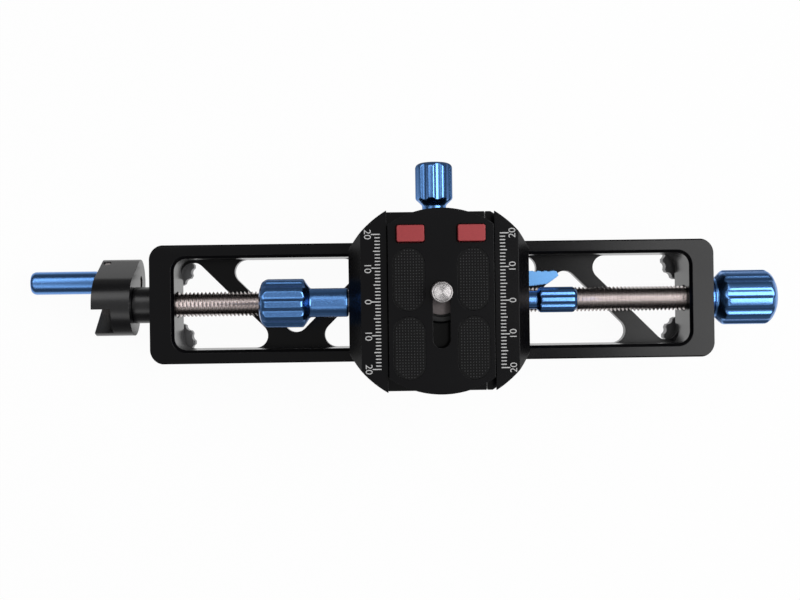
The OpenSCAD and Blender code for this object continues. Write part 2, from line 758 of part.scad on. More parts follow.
// three corners of the housing: the lever fills the fourth
module housing_screw_places() for (p = [[-1, -1], [-1, 1], [1, -1]])
    translate([p[0] * housing_screw_x, p[1] * housing_screw_y, 0]) children();

// room under the saddle for the lever to swing
module lever_pocket() block([drive_pin_x - pocket_side, pivot_y - 2 * pocket_side, saddle_z - over],
                            [saddle_l, pivot_y + 2.1 * pocket_side, lever_z + lever_pocket_h]);

module nut_housing() color(black) on_carriage() difference() {
    translate([0, 0, housing_z]) linear_extrude(saddle_z - housing_z)
        round_rect(housing_l, housing_w, housing_r);
    translate([0, 0, screw_z]) rod_x(screw_d / 2 + gap, -housing_l, housing_l);
    // pocket of the half nut
    block([drive_pin_x - nut_l / 2 - gap, 0, housing_z + housing_floor],
          [drive_pin_x + nut_l / 2 + gap, nut_pocket_w, saddle_z + over]);
    housing_screw_places() rod_z(housing_screw_r + seat, housing_z - over, saddle_z + over);
}

module housing_screws() color(steel) on_carriage() housing_screw_places()
    rod_z(housing_screw_r, housing_z + 2 * play, saddle_z + screw_depth);

module lever_pin() color(steel) on_carriage()
    translate([pivot_x, pivot_y, 0]) rod_z(pivot_r, saddle_z + play, saddle_z + pin_depth);

module half_nut() color(bronze) on_carriage() difference() {
    union() {
        block([drive_pin_x - nut_l / 2, nut_front, housing_z + housing_floor + gap],
              [drive_pin_x + nut_l / 2, nut_back, nut_top]);
        translate([drive_pin_x, drive_pin_y, 0]) rod_z(drive_pin_r, nut_top - over, lever_z + lever_t + gap);
    }
    translate([0, 0, screw_z]) rod_x(screw_d / 2 + gap, 0, housing_l);
}

module half_nut_spring() color(steel) on_carriage() translate([drive_pin_x, 0, screw_z])
    to_y() spring_tube(nut_spring_r, nut_back + play / 2, nut_pocket_w - play / 2);

// lever in plan, about the turning axis
module lever_2d() {
    tip = saddle_l / 2 + lever_reach;
    back = pivot_y + lever_w / 2 + 0.2;       // straight back edge, which carries the finger grip
    front = back - lever_w;
    head = drive_pin_x - 1.2;                 // end of the fork
    fork = drive_pin_r + play + play / 2;
    difference() {
        union() {
            translate([pivot_x, pivot_y]) circle(lever_boss_r);
            polygon([[head, drive_pin_y - lever_boss_r], [pivot_x, pivot_y - lever_boss_r],
                     [pivot_x, pivot_y + lever_boss_r], [head, drive_pin_y + lever_boss_r]]);
            polygon([[pivot_x, back], [pivot_x, pivot_y - 0.8 * lever_boss_r],
                     [saddle_l / 2 + 5, front], [tip - 3.6, front + 0.6], [tip - 1, front + lever_w / 2],
                     [tip, back - lever_w / 3], [tip - 0.5, back - 0.3], [tip - 1.4, back]]);
        }
        translate([pivot_x, pivot_y]) circle(pivot_r + run);
        translate([drive_pin_x - 4, drive_pin_y - fork]) square([4 + fork + nut_front - play, 2 * fork]);
        for (i = [0 : grip_notches - 1])
            translate([tip - 3.2 - notch_pitch * i, back + 0.75 * notch_r]) circle(notch_r);
    }
}

module release_lever() color(sky) on_carriage()
    translate([0, 0, lever_z]) linear_extrude(lever_t) lever_2d();

// ---------------------------------------------------------------- carriage lock

module lock_knob() color(blue) on_carriage() translate([0, 0, lock_z]) to_y() difference() {
    r = lock_d / 2;
    l = lock_reach;
    n = lock_neck / 2;
    y0 = saddle_w / 2 + side_gap;
    fluted(concat([[0, y0], [n, y0], [n, l - lock_body - neck_cone], [r, l - lock_body]],
                  crown(lock_crown, r, l), [[0, l]]), r, lock_flutes, lock_turn);
    rod_z(lock_screw_d / 2 + seat, 0, l - lock_body + knob_bore);
}

module lock_screw() color(steel) on_carriage() translate([0, 0, lock_z])
    rod_y(lock_screw_d / 2, cheek_in + shoe_room + play / 2, lock_reach - lock_body + knob_bore - 2 * play);

module brake_shoe() color(bronze) on_carriage() translate([0, 0, lock_z])
    rod_y(shoe_d / 2, rail_w / 2 + shoe_gap, rail_w / 2 + shoe_gap + shoe_t);

// ---------------------------------------------------------------- clamp

// cross-section of the plate's dovetail and of the channel that holds it
module dovetail_2d(grow) {
    h = plate_w / 2 + grow;
    d = plate_dove_w / 2 + grow;
    z = grow > 0 ? channel_z : plate_z;
    flat = plate_z + plate_lip + grow * (sqrt(2) - 1);
    top = plate_top + (grow > 0 ? over : 0);
    polygon([[-d, z], [d, z], [d, flat], [h, flat + plate_flare], [h, top],
             [-h, top], [-h, flat + plate_flare], [-d, flat]]);
}

// clamp outline with the two sloping shoulders
module clamp_block() intersection() {
    translate([0, 0, clamp_z]) linear_extrude(clamp_h) clamp_2d();
    rotate([90, 0, 0]) translate([0, 0, -clamp_l]) linear_extrude(2 * clamp_l)
        polygon([[-clamp_w / 2, 0], [clamp_w / 2, 0], [clamp_w / 2, clamp_top - shoulder_h],
                 [clamp_w / 2 - shoulder, clamp_top], [-clamp_w / 2 + shoulder, clamp_top],
                 [-clamp_w / 2, clamp_top - shoulder_h]]);
}

module channel_cut(x) translate([x, clamp_l, 0]) rotate([90, 0, 0])
    linear_extrude(2 * clamp_l) dovetail_2d(dove_gap);

// length of the scale mark at i millimetres
function mark_l(i) = i % 10 == 0 ? mark_long : (i % 5 == 0 ? mark_mid : mark_short);

// engraved millimetre marks beside the plate's edge, on one side
module scale_marks(side, x) for (i = [-mark_count : mark_count])
    translate([x + (side > 0 ? 0 : -mark_l(i)), i - mark_w / 2, clamp_top - mark_h])
        cube([mark_l(i), mark_w, over]);

module clamp_body() color(black) on_carriage() {
    difference() {
        clamp_block();
        channel_cut(plate_x);
        block([split_x, -clamp_l, clamp_z - over], [clamp_w, clamp_l, clamp_top + over]);
        translate([0, 0, clamp_screw_z]) rod_x(clamp_screw_d / 2 + screw_room, -clamp_w, clamp_w);
        for (s = [-1, 1]) translate([0, s * guide_y, clamp_screw_z]) {
            rod_x(guide_d / 2 + run, -guide_in, split_x + over);
            rod_x(guide_d / 2 + 2 * spring_wire + play, split_x - spring_l, split_x + over);
        }
        scale_marks(-1, left_edge - mark_inset);
    }
    difference() {
        rod_z(turn_r, disc_top, clamp_z + e);
        translate([0, 0, pan_z]) rotate_extrude()
            polygon([[groove_r, 0], [turn_r + over, groove_r - turn_r - over],
                     [turn_r + over, turn_r + over - groove_r]]);
        rod_z(retainer_screw_r + seat, 0, saddle_z + recess_h + retainer_depth + 2 * play);
    }
}

module pan_retainer() color(steel) on_carriage() difference() {
    rod_z(disc_r, saddle_z + gap, disc_top);
    rod_z(retainer_screw_r + seat, 0, clamp_z);
    translate([0, 0, saddle_z + gap - e])
        cylinder(r1 = retainer_head_r + play, r2 = retainer_screw_r + seat, h = retainer_head_t + play);
}

module retainer_screw() color(steel) on_carriage() union() {
    rod_z(retainer_screw_r, saddle_z + gap + 2 * play, saddle_z + recess_h + retainer_depth);
    translate([0, 0, saddle_z + gap + play / 2])
        cylinder(r1 = retainer_head_r, r2 = retainer_screw_r, h = retainer_head_t);
}

module moving_jaw() color(black) on_carriage() translate([jaw_open, 0, 0]) difference() {
    translate([-jaw_open, 0, 0]) clamp_block();
    block([-clamp_w, -clamp_l, 0], [jaw_in - jaw_open, clamp_l, clamp_top + over]);
    channel_cut(plate_x - dove_gap);
    translate([0, 0, clamp_screw_z]) rod_x(clamp_screw_d / 2 + run, 0, clamp_w / 2 - jaw_wall);
    for (s = [-1, 1]) translate([0, s * guide_y, clamp_screw_z])
        rod_x(guide_d / 2 + seat, 0, clamp_w / 2 - guide_wall);
    translate([-jaw_open, 0, 0]) scale_marks(1, right_edge + mark_inset + 2 * play);
}

module jaw_guides() color(steel) on_carriage()
    for (s = [-1, 1]) translate([0, s * guide_y, clamp_screw_z])
        rod_x(guide_d / 2, guide_start, clamp_w / 2 - guide_wall - gap);

module jaw_springs() color(steel) on_carriage()
    for (s = [-1, 1]) translate([0, s * guide_y, clamp_screw_z]) to_x() difference() {
        rod_z(guide_d / 2 + 2 * spring_wire - play, split_x - spring_l, jaw_in - play / 2);
        rod_z(guide_d / 2 + spring_wire - play, 0, clamp_w);
    }

// ---------------------------------------------------------------- clamp knob

sleeve_cone = 1.8;                            // from the sleeve up to the lobes
knob_face = -clamp_w / 2 - 2 * play;               // where the sleeve meets the body

module clamp_knob() color(blue) on_carriage() translate([0, 0, clamp_screw_z])
    mirror([1, 0, 0]) to_x() difference() {
        r = clamp_knob_d / 2;
        s = sleeve_d / 2;
        a = -knob_face;
        b = a + sleeve_l;
        body = b + sleeve_cone;
        c = body + clamp_knob_l;
        fluted(concat([[0, a], [s - edge_cut, a], [s, a + edge_cut], [s, b - edge_cut], [s + edge_cut, b],
                       [r, body]], crown(clamp_crown, r, c), [[0, c]]), r, clamp_flutes, clamp_turn);
        rod_z(clamp_screw_d / 2 + seat, 0, b + knob_bore);
    }

module clamp_screw() color(steel) on_carriage() translate([0, 0, clamp_screw_z])
    rod_x(clamp_screw_d / 2, knob_face - sleeve_l - knob_bore + 2 * play, clamp_w / 2 - jaw_wall - edge_cut);

// ---------------------------------------------------------------- pan lock

module pan_lock_knob() color(blue) on_carriage() translate([0, 0, pan_z]) to_x() difference() {
    r = pan_d / 2;
    a = saddle_l / 2 + side_gap;
    b = saddle_l / 2 + pan_neck;
    c = b + pan_l;
    fluted(concat([[0, a], [r - pan_step, a], [r - pan_step, b], [r, b + pan_step]],
                  crown(pan_crown, r, c), [[0, c]]), r, pan_flutes);
    rod_z(pan_screw_d / 2 + seat, 0, b + knob_bore + over);
}

module pan_lock_screw() color(steel) on_carriage() translate([0, 0, pan_z])
    rod_x(pan_screw_d / 2, turn_r + pad_end + play, saddle_l / 2 + pan_neck + knob_bore + over - 2 * play);

module pan_lock_pad() color(bronze) on_carriage() translate([0, 0, pan_z]) to_x() union() {
    r = pan_screw_d / 2;
    tip = groove_r + pad_tip + pad_gap;
    translate([0, 0, tip]) cylinder(r1 = pad_tip, r2 = r, h = r - pad_tip);
    rod_z(r, tip + r - pad_tip - e, turn_r + pad_end);
}

// ---------------------------------------------------------------- camera plate

// draws children about the plate's middle
module on_plate() translate([carriage_x + plate_x, 0, 0]) children();

module plate_outline() intersection() {
    circle(plate_r);
    square([plate_dove_w + over, 2 * plate_r], center = true);
}

module rubber_2d(grow = 0) round_rect(rubber_w + 2 * grow, rubber_l + 2 * grow, rubber_w / 2 + grow - e);

module rubber_places() for (s = [-1, 1], y = [rubber_l / 2 + rubber_y, rubber_y - rubber_l / 2 - rubber_gap])
    translate([s * rubber_x / 2, y]) children();

module camera_plate() color(black) on_plate() difference() {
    intersection() {
        translate([0, plate_r, 0]) rotate([90, 0, 0]) linear_extrude(2 * plate_r) dovetail_2d(0);
        translate([0, 0, plate_z - over]) linear_extrude(plate_t + 2 * over) plate_outline();
    }
    // screw slot, its keyhole and the groove for the head
    translate([0, 0, plate_z - over]) linear_extrude(plate_t + 2 * over)
        slot_2d(plate_slot_w, screw_y - slot_travel, screw_y);
    translate([0, screw_y, 0]) rod_z(keyhole_r, plate_z - over, plate_top + over);
    translate([0, 0, plate_z - over]) linear_extrude(plate_t + over - ledge_t)
        slot_2d(2 * head_groove_r, screw_y - slot_travel, screw_y);
    // beds of the rubber pads
    translate([0, 0, plate_top - pad_bed]) linear_extrude(pad_bed + over) rubber_places() rubber_2d(seat);
    // wells of the stops, wider below the ledge that holds them in
    for (s = [-1, 1]) translate([s * stop_x / 2, stop_y, plate_z - over]) {
        linear_extrude(plate_t + 2 * over) round_rect(stop_w + 2 * gap, stop_d + 2 * gap, stop_r + gap);
        linear_extrude(plate_t + over - stop_ledge)
            round_rect(stop_w + 2 * (gap + stop_flange), stop_d + 2 * (gap + stop_flange), stop_r + gap);
    }
    // bed of the cover under the stops
    translate([0, stop_y, plate_z - over]) linear_extrude(over + cover_t + seat)
        round_rect(cover_l + 2 * seat, cover_w + 2 * seat, cover_r);
}

module plate_rubbers() color(rubber) on_plate()
    translate([0, 0, plate_top - pad_bed + seat]) linear_extrude(pad_bed + rubber_h)
        rubber_places() rubber_2d();

module stop_piece(side) color(red) on_plate() translate([side * stop_x / 2, stop_y, 0]) union() {
    translate([0, 0, stop_bottom + e]) linear_extrude(plate_top + stop_h - stop_bottom - e)
        round_rect(stop_w, stop_d, stop_r);
    translate([0, 0, stop_bottom]) linear_extrude(stop_flange_t)
        round_rect(stop_w + 2 * stop_flange, stop_d + 2 * stop_flange, stop_r);
}

module stop_left() stop_piece(-1);

module stop_right() stop_piece(1);

module stop_spring(side) color(steel) on_plate() translate([side * stop_x / 2, stop_y, 0])
    spring_tube(stop_spring_r, plate_z + cover_t + play, stop_bottom - play / 2);

module stop_spring_left() stop_spring(-1);

module stop_spring_right() stop_spring(1);

module stop_cover() color(steel) on_plate() translate([0, stop_y, plate_z]) linear_extrude(cover_t)
    round_rect(cover_l, cover_w, cover_r);

// draws children about the camera screw's axis
module on_screw() on_plate() translate([0, screw_y, 0]) children();

module slot_washer() color(steel) on_screw() difference() {
    rod_z(washer_d / 2, head_z + head_t + play, plate_top - ledge_t - play);
    rod_z(shank_d / 2 + run, 0, 2 * plate_top);
}

module coin_slot() block([-coin_slot_w / 2, -head_d, head_z - over],
                         [coin_slot_w / 2, head_d, head_z + coin_slot_h]);

// screw's head: a disc with a raised rim round the washer
module screw_head() color(black) on_screw() difference() {
    r = head_d / 2;
    top = head_z + head_t;
    rim = top + rim_h;
    rotate_extrude() polygon([[shank_d / 2 + seat, head_z], [r, head_z], [r, rim - head_edge],
        [r - head_edge, rim], [rim_d / 2, rim], [rim_d / 2, top], [shank_d / 2 + seat, top]]);
    coin_slot();
}

module camera_screw() color(steel) on_screw() difference() {
    end = plate_top + camera_h;
    rotate_extrude() polygon([[0, head_z], [shank_d / 2, head_z], [shank_d / 2, plate_top + edge_cut],
        [camera_d / 2, plate_top + edge_cut], [camera_d / 2, end - thread_tip],
        [camera_d / 2 - thread_tip, end], [0, end]]);
    coin_slot();
}

// ---------------------------------------------------------------- feet

// sx and sy choose the corner
module at_corner(sx, sy) translate([sx * foot_x, sy * foot_y, 0]) children();

module foot(sx, sy) color(grey) at_corner(sx, sy) union() {
    r = foot_d / 2;
    difference() {
        rotate_extrude() polygon([[0, foot_bottom], [r - edge_cut, foot_bottom],
            [r, foot_bottom + edge_cut], [r, foot_top - edge_cut], [r - edge_cut, foot_top], [0, foot_top]]);
        for (i = [0 : foot_lobes - 1]) rotate(360 * (i + 0.5) / foot_lobes)
            translate([r + lobe_out, 0, foot_bottom - over]) cylinder(r = lobe_r, h = foot_t + 2 * over);
    }
    rod_z(stud_d / 2, foot_top - play, stud_h);
}

module foot_a() foot(-1, 1);

module foot_b() foot(1, 1);

module foot_c() foot(-1, -1);

module foot_d() foot(1, -1);

module sole(sx, sy) color(rubber) at_corner(sx, sy)
    rod_z(foot_d / 2 - sole_edge, foot_bottom - sole_t, foot_bottom);

module sole_a() sole(-1, 1);

module sole_b() sole(1, 1);

module sole_c() sole(-1, -1);

module sole_d() sole(1, -1);

// ---------------------------------------------------------------- assembly

rail_frame();
screw_bush_left();
screw_bush_right();
lead_screw();
drive_knob();
knob_grub_screw();
crank_arm();
crank_collar();
crank_grub_screw();
handle_detent();
handle_pivot_pin();
handle_stem();
handle_grip();
saddle();
nut_housing();
housing_screws();
lever_pin();
half_nut();
half_nut_spring();
release_lever();
lock_knob();
lock_screw();
brake_shoe();
clamp_body();
pan_retainer();
retainer_screw();
moving_jaw();
jaw_guides();
jaw_springs();
clamp_knob();
clamp_screw();
pan_lock_knob();
pan_lock_screw();
pan_lock_pad();
camera_plate();
plate_rubbers();
stop_left();
stop_right();
stop_spring_left();
stop_spring_right();
stop_cover();
slot_washer();
screw_head();
camera_screw();
foot_a();
foot_b();
foot_c();
foot_d();
sole_a();
sole_b();
sole_c();
sole_d();
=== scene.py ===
# %% [markdown]
# # A macro focusing rail, dressed for its portrait
# The machined model is already there: every part of the rail is a solid at its real size. In this
# notebook it gets what a camera sees: broken edges, cut threads, fluted knobs, printed numbers and
# anodised, turned and rubber finishes. Sizes are written in millimetres and turned into metres.

# %% Load the machined model
import bpy
import json
import math
from mathutils import Matrix, Vector

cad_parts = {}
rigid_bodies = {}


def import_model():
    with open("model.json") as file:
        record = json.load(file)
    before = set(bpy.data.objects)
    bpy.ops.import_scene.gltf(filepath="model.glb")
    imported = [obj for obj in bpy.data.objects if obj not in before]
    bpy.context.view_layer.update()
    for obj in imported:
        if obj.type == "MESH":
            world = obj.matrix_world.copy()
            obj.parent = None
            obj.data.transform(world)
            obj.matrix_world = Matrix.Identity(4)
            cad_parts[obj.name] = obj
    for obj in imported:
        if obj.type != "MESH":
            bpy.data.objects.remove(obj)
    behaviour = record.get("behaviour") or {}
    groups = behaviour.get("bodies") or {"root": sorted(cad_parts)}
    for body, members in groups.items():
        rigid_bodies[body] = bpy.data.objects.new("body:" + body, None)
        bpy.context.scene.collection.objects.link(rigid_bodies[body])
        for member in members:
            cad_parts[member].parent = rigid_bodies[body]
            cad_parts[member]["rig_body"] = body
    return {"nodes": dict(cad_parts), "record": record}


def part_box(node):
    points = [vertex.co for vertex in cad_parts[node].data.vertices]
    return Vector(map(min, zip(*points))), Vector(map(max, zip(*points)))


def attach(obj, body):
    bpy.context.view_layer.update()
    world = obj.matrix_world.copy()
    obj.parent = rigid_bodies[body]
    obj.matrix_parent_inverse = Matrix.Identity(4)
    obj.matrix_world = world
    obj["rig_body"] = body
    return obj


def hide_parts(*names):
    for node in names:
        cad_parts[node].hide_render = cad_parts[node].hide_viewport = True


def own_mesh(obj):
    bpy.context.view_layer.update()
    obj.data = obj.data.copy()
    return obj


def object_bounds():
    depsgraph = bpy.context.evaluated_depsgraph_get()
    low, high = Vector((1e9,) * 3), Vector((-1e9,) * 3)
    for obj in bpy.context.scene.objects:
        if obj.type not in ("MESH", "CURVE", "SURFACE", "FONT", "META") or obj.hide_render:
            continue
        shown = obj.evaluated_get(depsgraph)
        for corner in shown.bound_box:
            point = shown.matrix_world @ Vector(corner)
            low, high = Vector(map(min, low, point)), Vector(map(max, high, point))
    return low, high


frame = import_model()
cad_box = [list(corner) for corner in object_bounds()]
MM = 0.001
print("nodes", len(frame["nodes"]), "box in mm", [[round(v / MM, 1) for v in c] for c in cad_box])

# %% [markdown]
# ## The camera
# The rail was photographed from straight above, close enough for the tall clamp to look larger than
# the frame below it. The lens and the place come from fitting the frame's outline, whose length is
# known, and the clamp's millimetre scale, which stands higher.

# %% Camera
rail_low, rail_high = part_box("rail_frame")
CAMERA_ABOVE_RAIL = 390.2 * MM
CAMERA_PLACE = (-18.2 * MM, -0.3 * MM, rail_high.z + CAMERA_ABOVE_RAIL)
CAMERA_TILT = (math.radians(0.138), math.radians(-1.128), math.radians(-0.782))
LENS, SENSOR_WIDTH = 55.17, 36
camera_data = bpy.data.cameras.new("camera")
camera_data.sensor_width = SENSOR_WIDTH
camera_data.lens = LENS
camera = bpy.data.objects.new("camera", camera_data)
camera.location = CAMERA_PLACE
camera.rotation_euler = CAMERA_TILT
bpy.context.scene.collection.objects.link(camera)
bpy.context.scene.camera = camera
print("camera", [round(v / MM, 1) for v in CAMERA_PLACE])

# %% [markdown]
# ## Selecting as by hand
# Blender's tools act on whatever is selected. These helpers clear the selection, step in and out of
# edit mode, and pick faces or edges by where they lie, as a person would click them.

# %% Selection helpers
MERGE_WITHIN = 0.002 * MM    # vertices closer together than this are one


def only(piece):
    bpy.ops.object.select_all(action="DESELECT")
    piece.select_set(True)
    bpy.context.view_layer.objects.active = piece
    return piece


def edit(piece, kind="VERT"):
    only(piece)
    bpy.ops.object.mode_set(mode="EDIT")
    bpy.ops.mesh.select_mode(type=kind)


def done():
    bpy.ops.object.mode_set(mode="OBJECT")


def pick(piece, test, kind="FACE"):
    """Selects only the faces, edges or vertices that pass the test, and counts them."""
    edit(piece, kind)
    bpy.ops.mesh.select_all(action="DESELECT")
    done()
    mesh = piece.data
    parts = {"FACE": mesh.polygons, "EDGE": mesh.edges, "VERT": mesh.vertices}[kind]
    for part in parts:
        part.select = bool(test(part))
    return sum(part.select for part in parts)


def settle(piece):
    """Puts the object at the origin, unturned, with its place in its mesh."""
    only(piece)
    bpy.ops.object.transform_apply(location=True, rotation=True, scale=True)
    return piece


def apply_all(piece):
    only(piece)
    for modifier in list(piece.modifiers):
        bpy.ops.object.modifier_apply(modifier=modifier.name)
    return piece


def smooth(piece, angle=32):
    only(piece)
    bpy.ops.object.shade_smooth_by_angle(angle=math.radians(angle))
    return piece


def closed(piece):
    """Merges doubled vertices and turns every face outwards."""
    edit(piece)
    bpy.ops.mesh.select_all(action="SELECT")
    bpy.ops.mesh.remove_doubles(threshold=MERGE_WITHIN)
    bpy.ops.mesh.normals_make_consistent(inside=False)
    done()
    return piece


def join(pieces, name):
    bpy.ops.object.select_all(action="DESELECT")
    for piece in pieces:
        piece.select_set(True)
    bpy.context.view_layer.objects.active = pieces[0]
    if len(pieces) > 1:
        bpy.ops.object.join()
    pieces[0].name = name
    return pieces[0]


def cut_away(piece, cutter, operation="DIFFERENCE"):
    """Takes the cutter's volume out of the piece, or with INTERSECT keeps only what is inside it."""
    cut = piece.modifiers.new("cut", "BOOLEAN")
    cut.operation = operation
    cut.object = cutter
    cut.solver = "EXACT"
    apply_all(piece)
    bpy.data.objects.remove(cutter)
    return piece


def repeat(piece, count, step):
    """Adds a row of copies, each moved on by the step."""
    row = piece.modifiers.new("row", "ARRAY")
    row.count = count
    row.use_relative_offset = False
    row.use_constant_offset = True
    row.constant_offset_displace = step


def middle_z(node):
    low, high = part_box(node)
    return (low.z + high.z) / 2


def named(piece, name, finish, node=None, body=None):
    """Names a finished piece, gives it its finish and hands it to the body it rides on."""
    piece.name = name
    piece.data.name = name
    piece.data.materials.clear()
    piece.data.materials.append(FINISH[finish])
    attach(piece, body or frame["nodes"][node]["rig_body"])
    if node:
        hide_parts(node)
    return piece


# %% [markdown]
# ## The lathe
# Knobs, screws, washers and bushes are turned parts. By hand one draws half of the profile with
# extruded vertices and spins it round the axis, which is just what a lathe does. Corners are softened
# in the profile, because a turned part has no razor edges.

# %% Profiles and spinning
ALONG = {"X": Vector((1, 0, 0)), "Y": Vector((0, 1, 0)), "Z": Vector((0, 0, 1))}
OUTWARD = {"X": Vector((0, 0, -1)), "Y": Vector((1, 0, 0)), "Z": Vector((1, 0, 0))}


def soften(points, radius, steps=4):
    """Rounds a profile's corners, using less than half of each side."""
    rounded = [points[0]]
    for before, corner, after in zip(points, points[1:], points[2:]):
        a, b, c = Vector(before), Vector(corner), Vector(after)
        reach = min(radius, 0.45 * (a - b).length, 0.45 * (c - b).length)
        start, end = b + (a - b).normalized() * reach, b + (c - b).normalized() * reach
        for i in range(steps + 1):
            t = i / steps
            rounded.append(tuple(start * (1 - t) ** 2 + b * 2 * t * (1 - t) + end * t ** 2))
    return rounded + [points[-1]]


def divided(points, longest):
    """Splits a profile's long sides, so that a fluted knob has rings to bend."""
    split = [points[0]]
    for a, b in zip(points, points[1:]):
        count = max(1, math.ceil((Vector(b) - Vector(a)).length / longest))
        split += [tuple(Vector(a).lerp(Vector(b), i / count)) for i in range(1, count + 1)]
    return split


def draw_line(points):
    """Extrudes one vertex through all the points."""
    bpy.ops.object.select_all(action="DESELECT")
    bpy.ops.mesh.primitive_plane_add(size=MM, location=points[0])
    piece = bpy.context.object
    edit(piece)
    bpy.ops.mesh.select_all(action="SELECT")
    bpy.ops.mesh.merge(type="CENTER")
    for start, end in zip(points, points[1:]):
        bpy.ops.mesh.extrude_vertices_move(TRANSFORM_OT_translate={"value": Vector(end) - Vector(start)})
    done()
    return settle(piece)


def lathe(profile, axis, centre, steps=96):
    """Spins a profile of (radius, place along the axis), in mm, about an axis through centre."""
    centre = Vector(centre)
    points = [centre + (OUTWARD[axis] * r + ALONG[axis] * s) * MM for r, s in profile]
    piece = draw_line(points)
    edit(piece)
    bpy.ops.mesh.select_all(action="SELECT")
    bpy.ops.mesh.spin(steps=steps, angle=2 * math.pi, center=centre, axis=ALONG[axis])
    done()
    return smooth(closed(piece))


# %% [markdown]
# ## Flutes
# A knob's flutes are milled with a round cutter that runs along the knob beside its axis. Cutting
# them with a boolean would leave slivers where they run out on the rounded end. Instead the lathe
# leaves enough columns of vertices, and each vertex that the cutter would reach is pressed in to the
# cutter's surface, with a small blend that rounds the flute's edge.

# %% Pressing flutes
FLUTE_SHARE = 0.66        # the cutter's radius against half a lobe's width


def press_flutes(piece, axis, centre, radius, count, turn, depth, blend=0.35 * MM):
    first, along = OUTWARD[axis], ALONG[axis]
    second = along.cross(first)
    half_lobe = FLUTE_SHARE * math.pi * radius / count
    cutter = half_lobe + depth / 2
    distance = radius - depth / 2 + half_lobe
    pitch = 2 * math.pi / count
    pressed = 0
    for vertex in piece.data.vertices:
        offset = vertex.co - centre
        across = offset - along * offset.dot(along)
        reach = across.length
        if reach < radius / 3:
            continue
        angle = math.atan2(across.dot(second), across.dot(first)) - turn
        angle = (angle / pitch) % 1 * pitch - pitch / 2
        under = cutter ** 2 - (distance * math.sin(angle)) ** 2
        if under <= 0:
            continue
        wall = distance * math.cos(angle) - math.sqrt(under)
        mix = max(blend - abs(reach - wall), 0) / blend
        new = min(reach, wall) - mix * mix * blend / 4
        if new < reach - 1e-7:
            vertex.co += across * (new / reach - 1)
            pressed += 1
    smooth(piece, 40)
    return pressed


# %% [markdown]
# ## Threads
# A screw thread is one groove wound round the bar. The profile of a single turn is drawn along the
# bar and the Screw modifier sweeps it round and forward by one pitch per turn, so that each turn
# joins the next. Both ends are then cut square with a bisect. Each open rim is extruded in place and
# merged to its middle, which closes it with clean triangles where filling it would not.

# %% Winding a thread
def wind_thread(profile, pitch, turns, axis, start, end, centre, steps=40):
    """A threaded bar from start to end along the axis, in mm, through centre."""
    along, outward = ALONG[axis], OUTWARD[axis]
    first = start - pitch
    piece = draw_line([(outward * r + along * (first + s)) * MM for r, s in profile])
    screw = piece.modifiers.new("thread", "SCREW")
    screw.axis = axis
    screw.angle = 2 * math.pi
    screw.screw_offset = pitch * MM
    screw.iterations = turns
    screw.steps = screw.render_steps = steps
    screw.use_merge_vertices = True
    screw.merge_threshold = MERGE_WITHIN
    apply_all(piece)
    for place, outer in ((start, False), (end, True)):
        edit(piece)
        bpy.ops.mesh.select_all(action="SELECT")
        bpy.ops.mesh.bisect(plane_co=along * place * MM, plane_no=along, use_fill=False,
                            clear_outer=outer, clear_inner=not outer)
        bpy.ops.mesh.extrude_edges_move(TRANSFORM_OT_translate={"value": (0, 0, 0)})
        bpy.ops.mesh.merge(type="CENTER")
        done()
    closed(piece)
    piece.location = centre
    return smooth(settle(piece), 25)


def coil(axis, radius, wire, start, end, turns, centre):
    """A round-wire spring between two places along an axis, wound like the real ones."""
    along, outward = ALONG[axis], OUTWARD[axis]
    bpy.ops.object.select_all(action="DESELECT")
    bpy.ops.mesh.primitive_circle_add(vertices=10, radius=wire * MM / 2)
    piece = bpy.context.object
    side = along.cross(outward)
    place = (outward * (radius - wire / 2) + along * (start + wire / 2)) * MM
    turned_on = Matrix((outward, along, -side)).transposed().to_4x4()
    piece.matrix_world = Matrix.Translation(place) @ turned_on
    settle(piece)
    screw = piece.modifiers.new("coil", "SCREW")
    screw.axis = axis
    screw.angle = 2 * math.pi
    screw.screw_offset = (end - start - wire) / turns * MM
    screw.iterations = turns
    screw.steps = screw.render_steps = 24
    apply_all(piece)
    edit(piece, "EDGE")
    bpy.ops.mesh.select_all(action="DESELECT")
    bpy.ops.mesh.select_non_manifold(extend=False, use_wire=False, use_boundary=True,
                                     use_multi_face=False, use_non_contiguous=False, use_verts=False)
    bpy.ops.mesh.fill_holes(sides=0)
    done()
    closed(piece)
    piece.location = centre
    return smooth(settle(piece), 60)


# %% [markdown]
# ## Light and floor
# A product picture like this one is lit by a large soft box on the right, which gives the frame's
# right end its sheen and the blue knobs their broad pale bands, and by two weaker ones beyond and
# before the rail. The lens looks down between them, so level black faces stay dark. The floor is a
# plain pale sheet that the camera sees as white. Glossy things see it white under the rail, where
# it lights the window's walls from below, and dimmer further out, which keeps the knobs' edges deep.

# %% Floor
FLOOR_Z = cad_box[0][2] - 0.2 * MM
FLOOR_SIZE = 6
FLOOR_SEEN = 0.96         # how much of the floor is plain white to the camera; the rest is lit paper
FLOOR_NEAR, FLOOR_FAR = 0.85, 0.16
FLOOR_FADE = (18 * MM, 60 * MM)           # where near turns into far, from the rail's axis
PAPER = (0.86, 0.86, 0.86, 1)


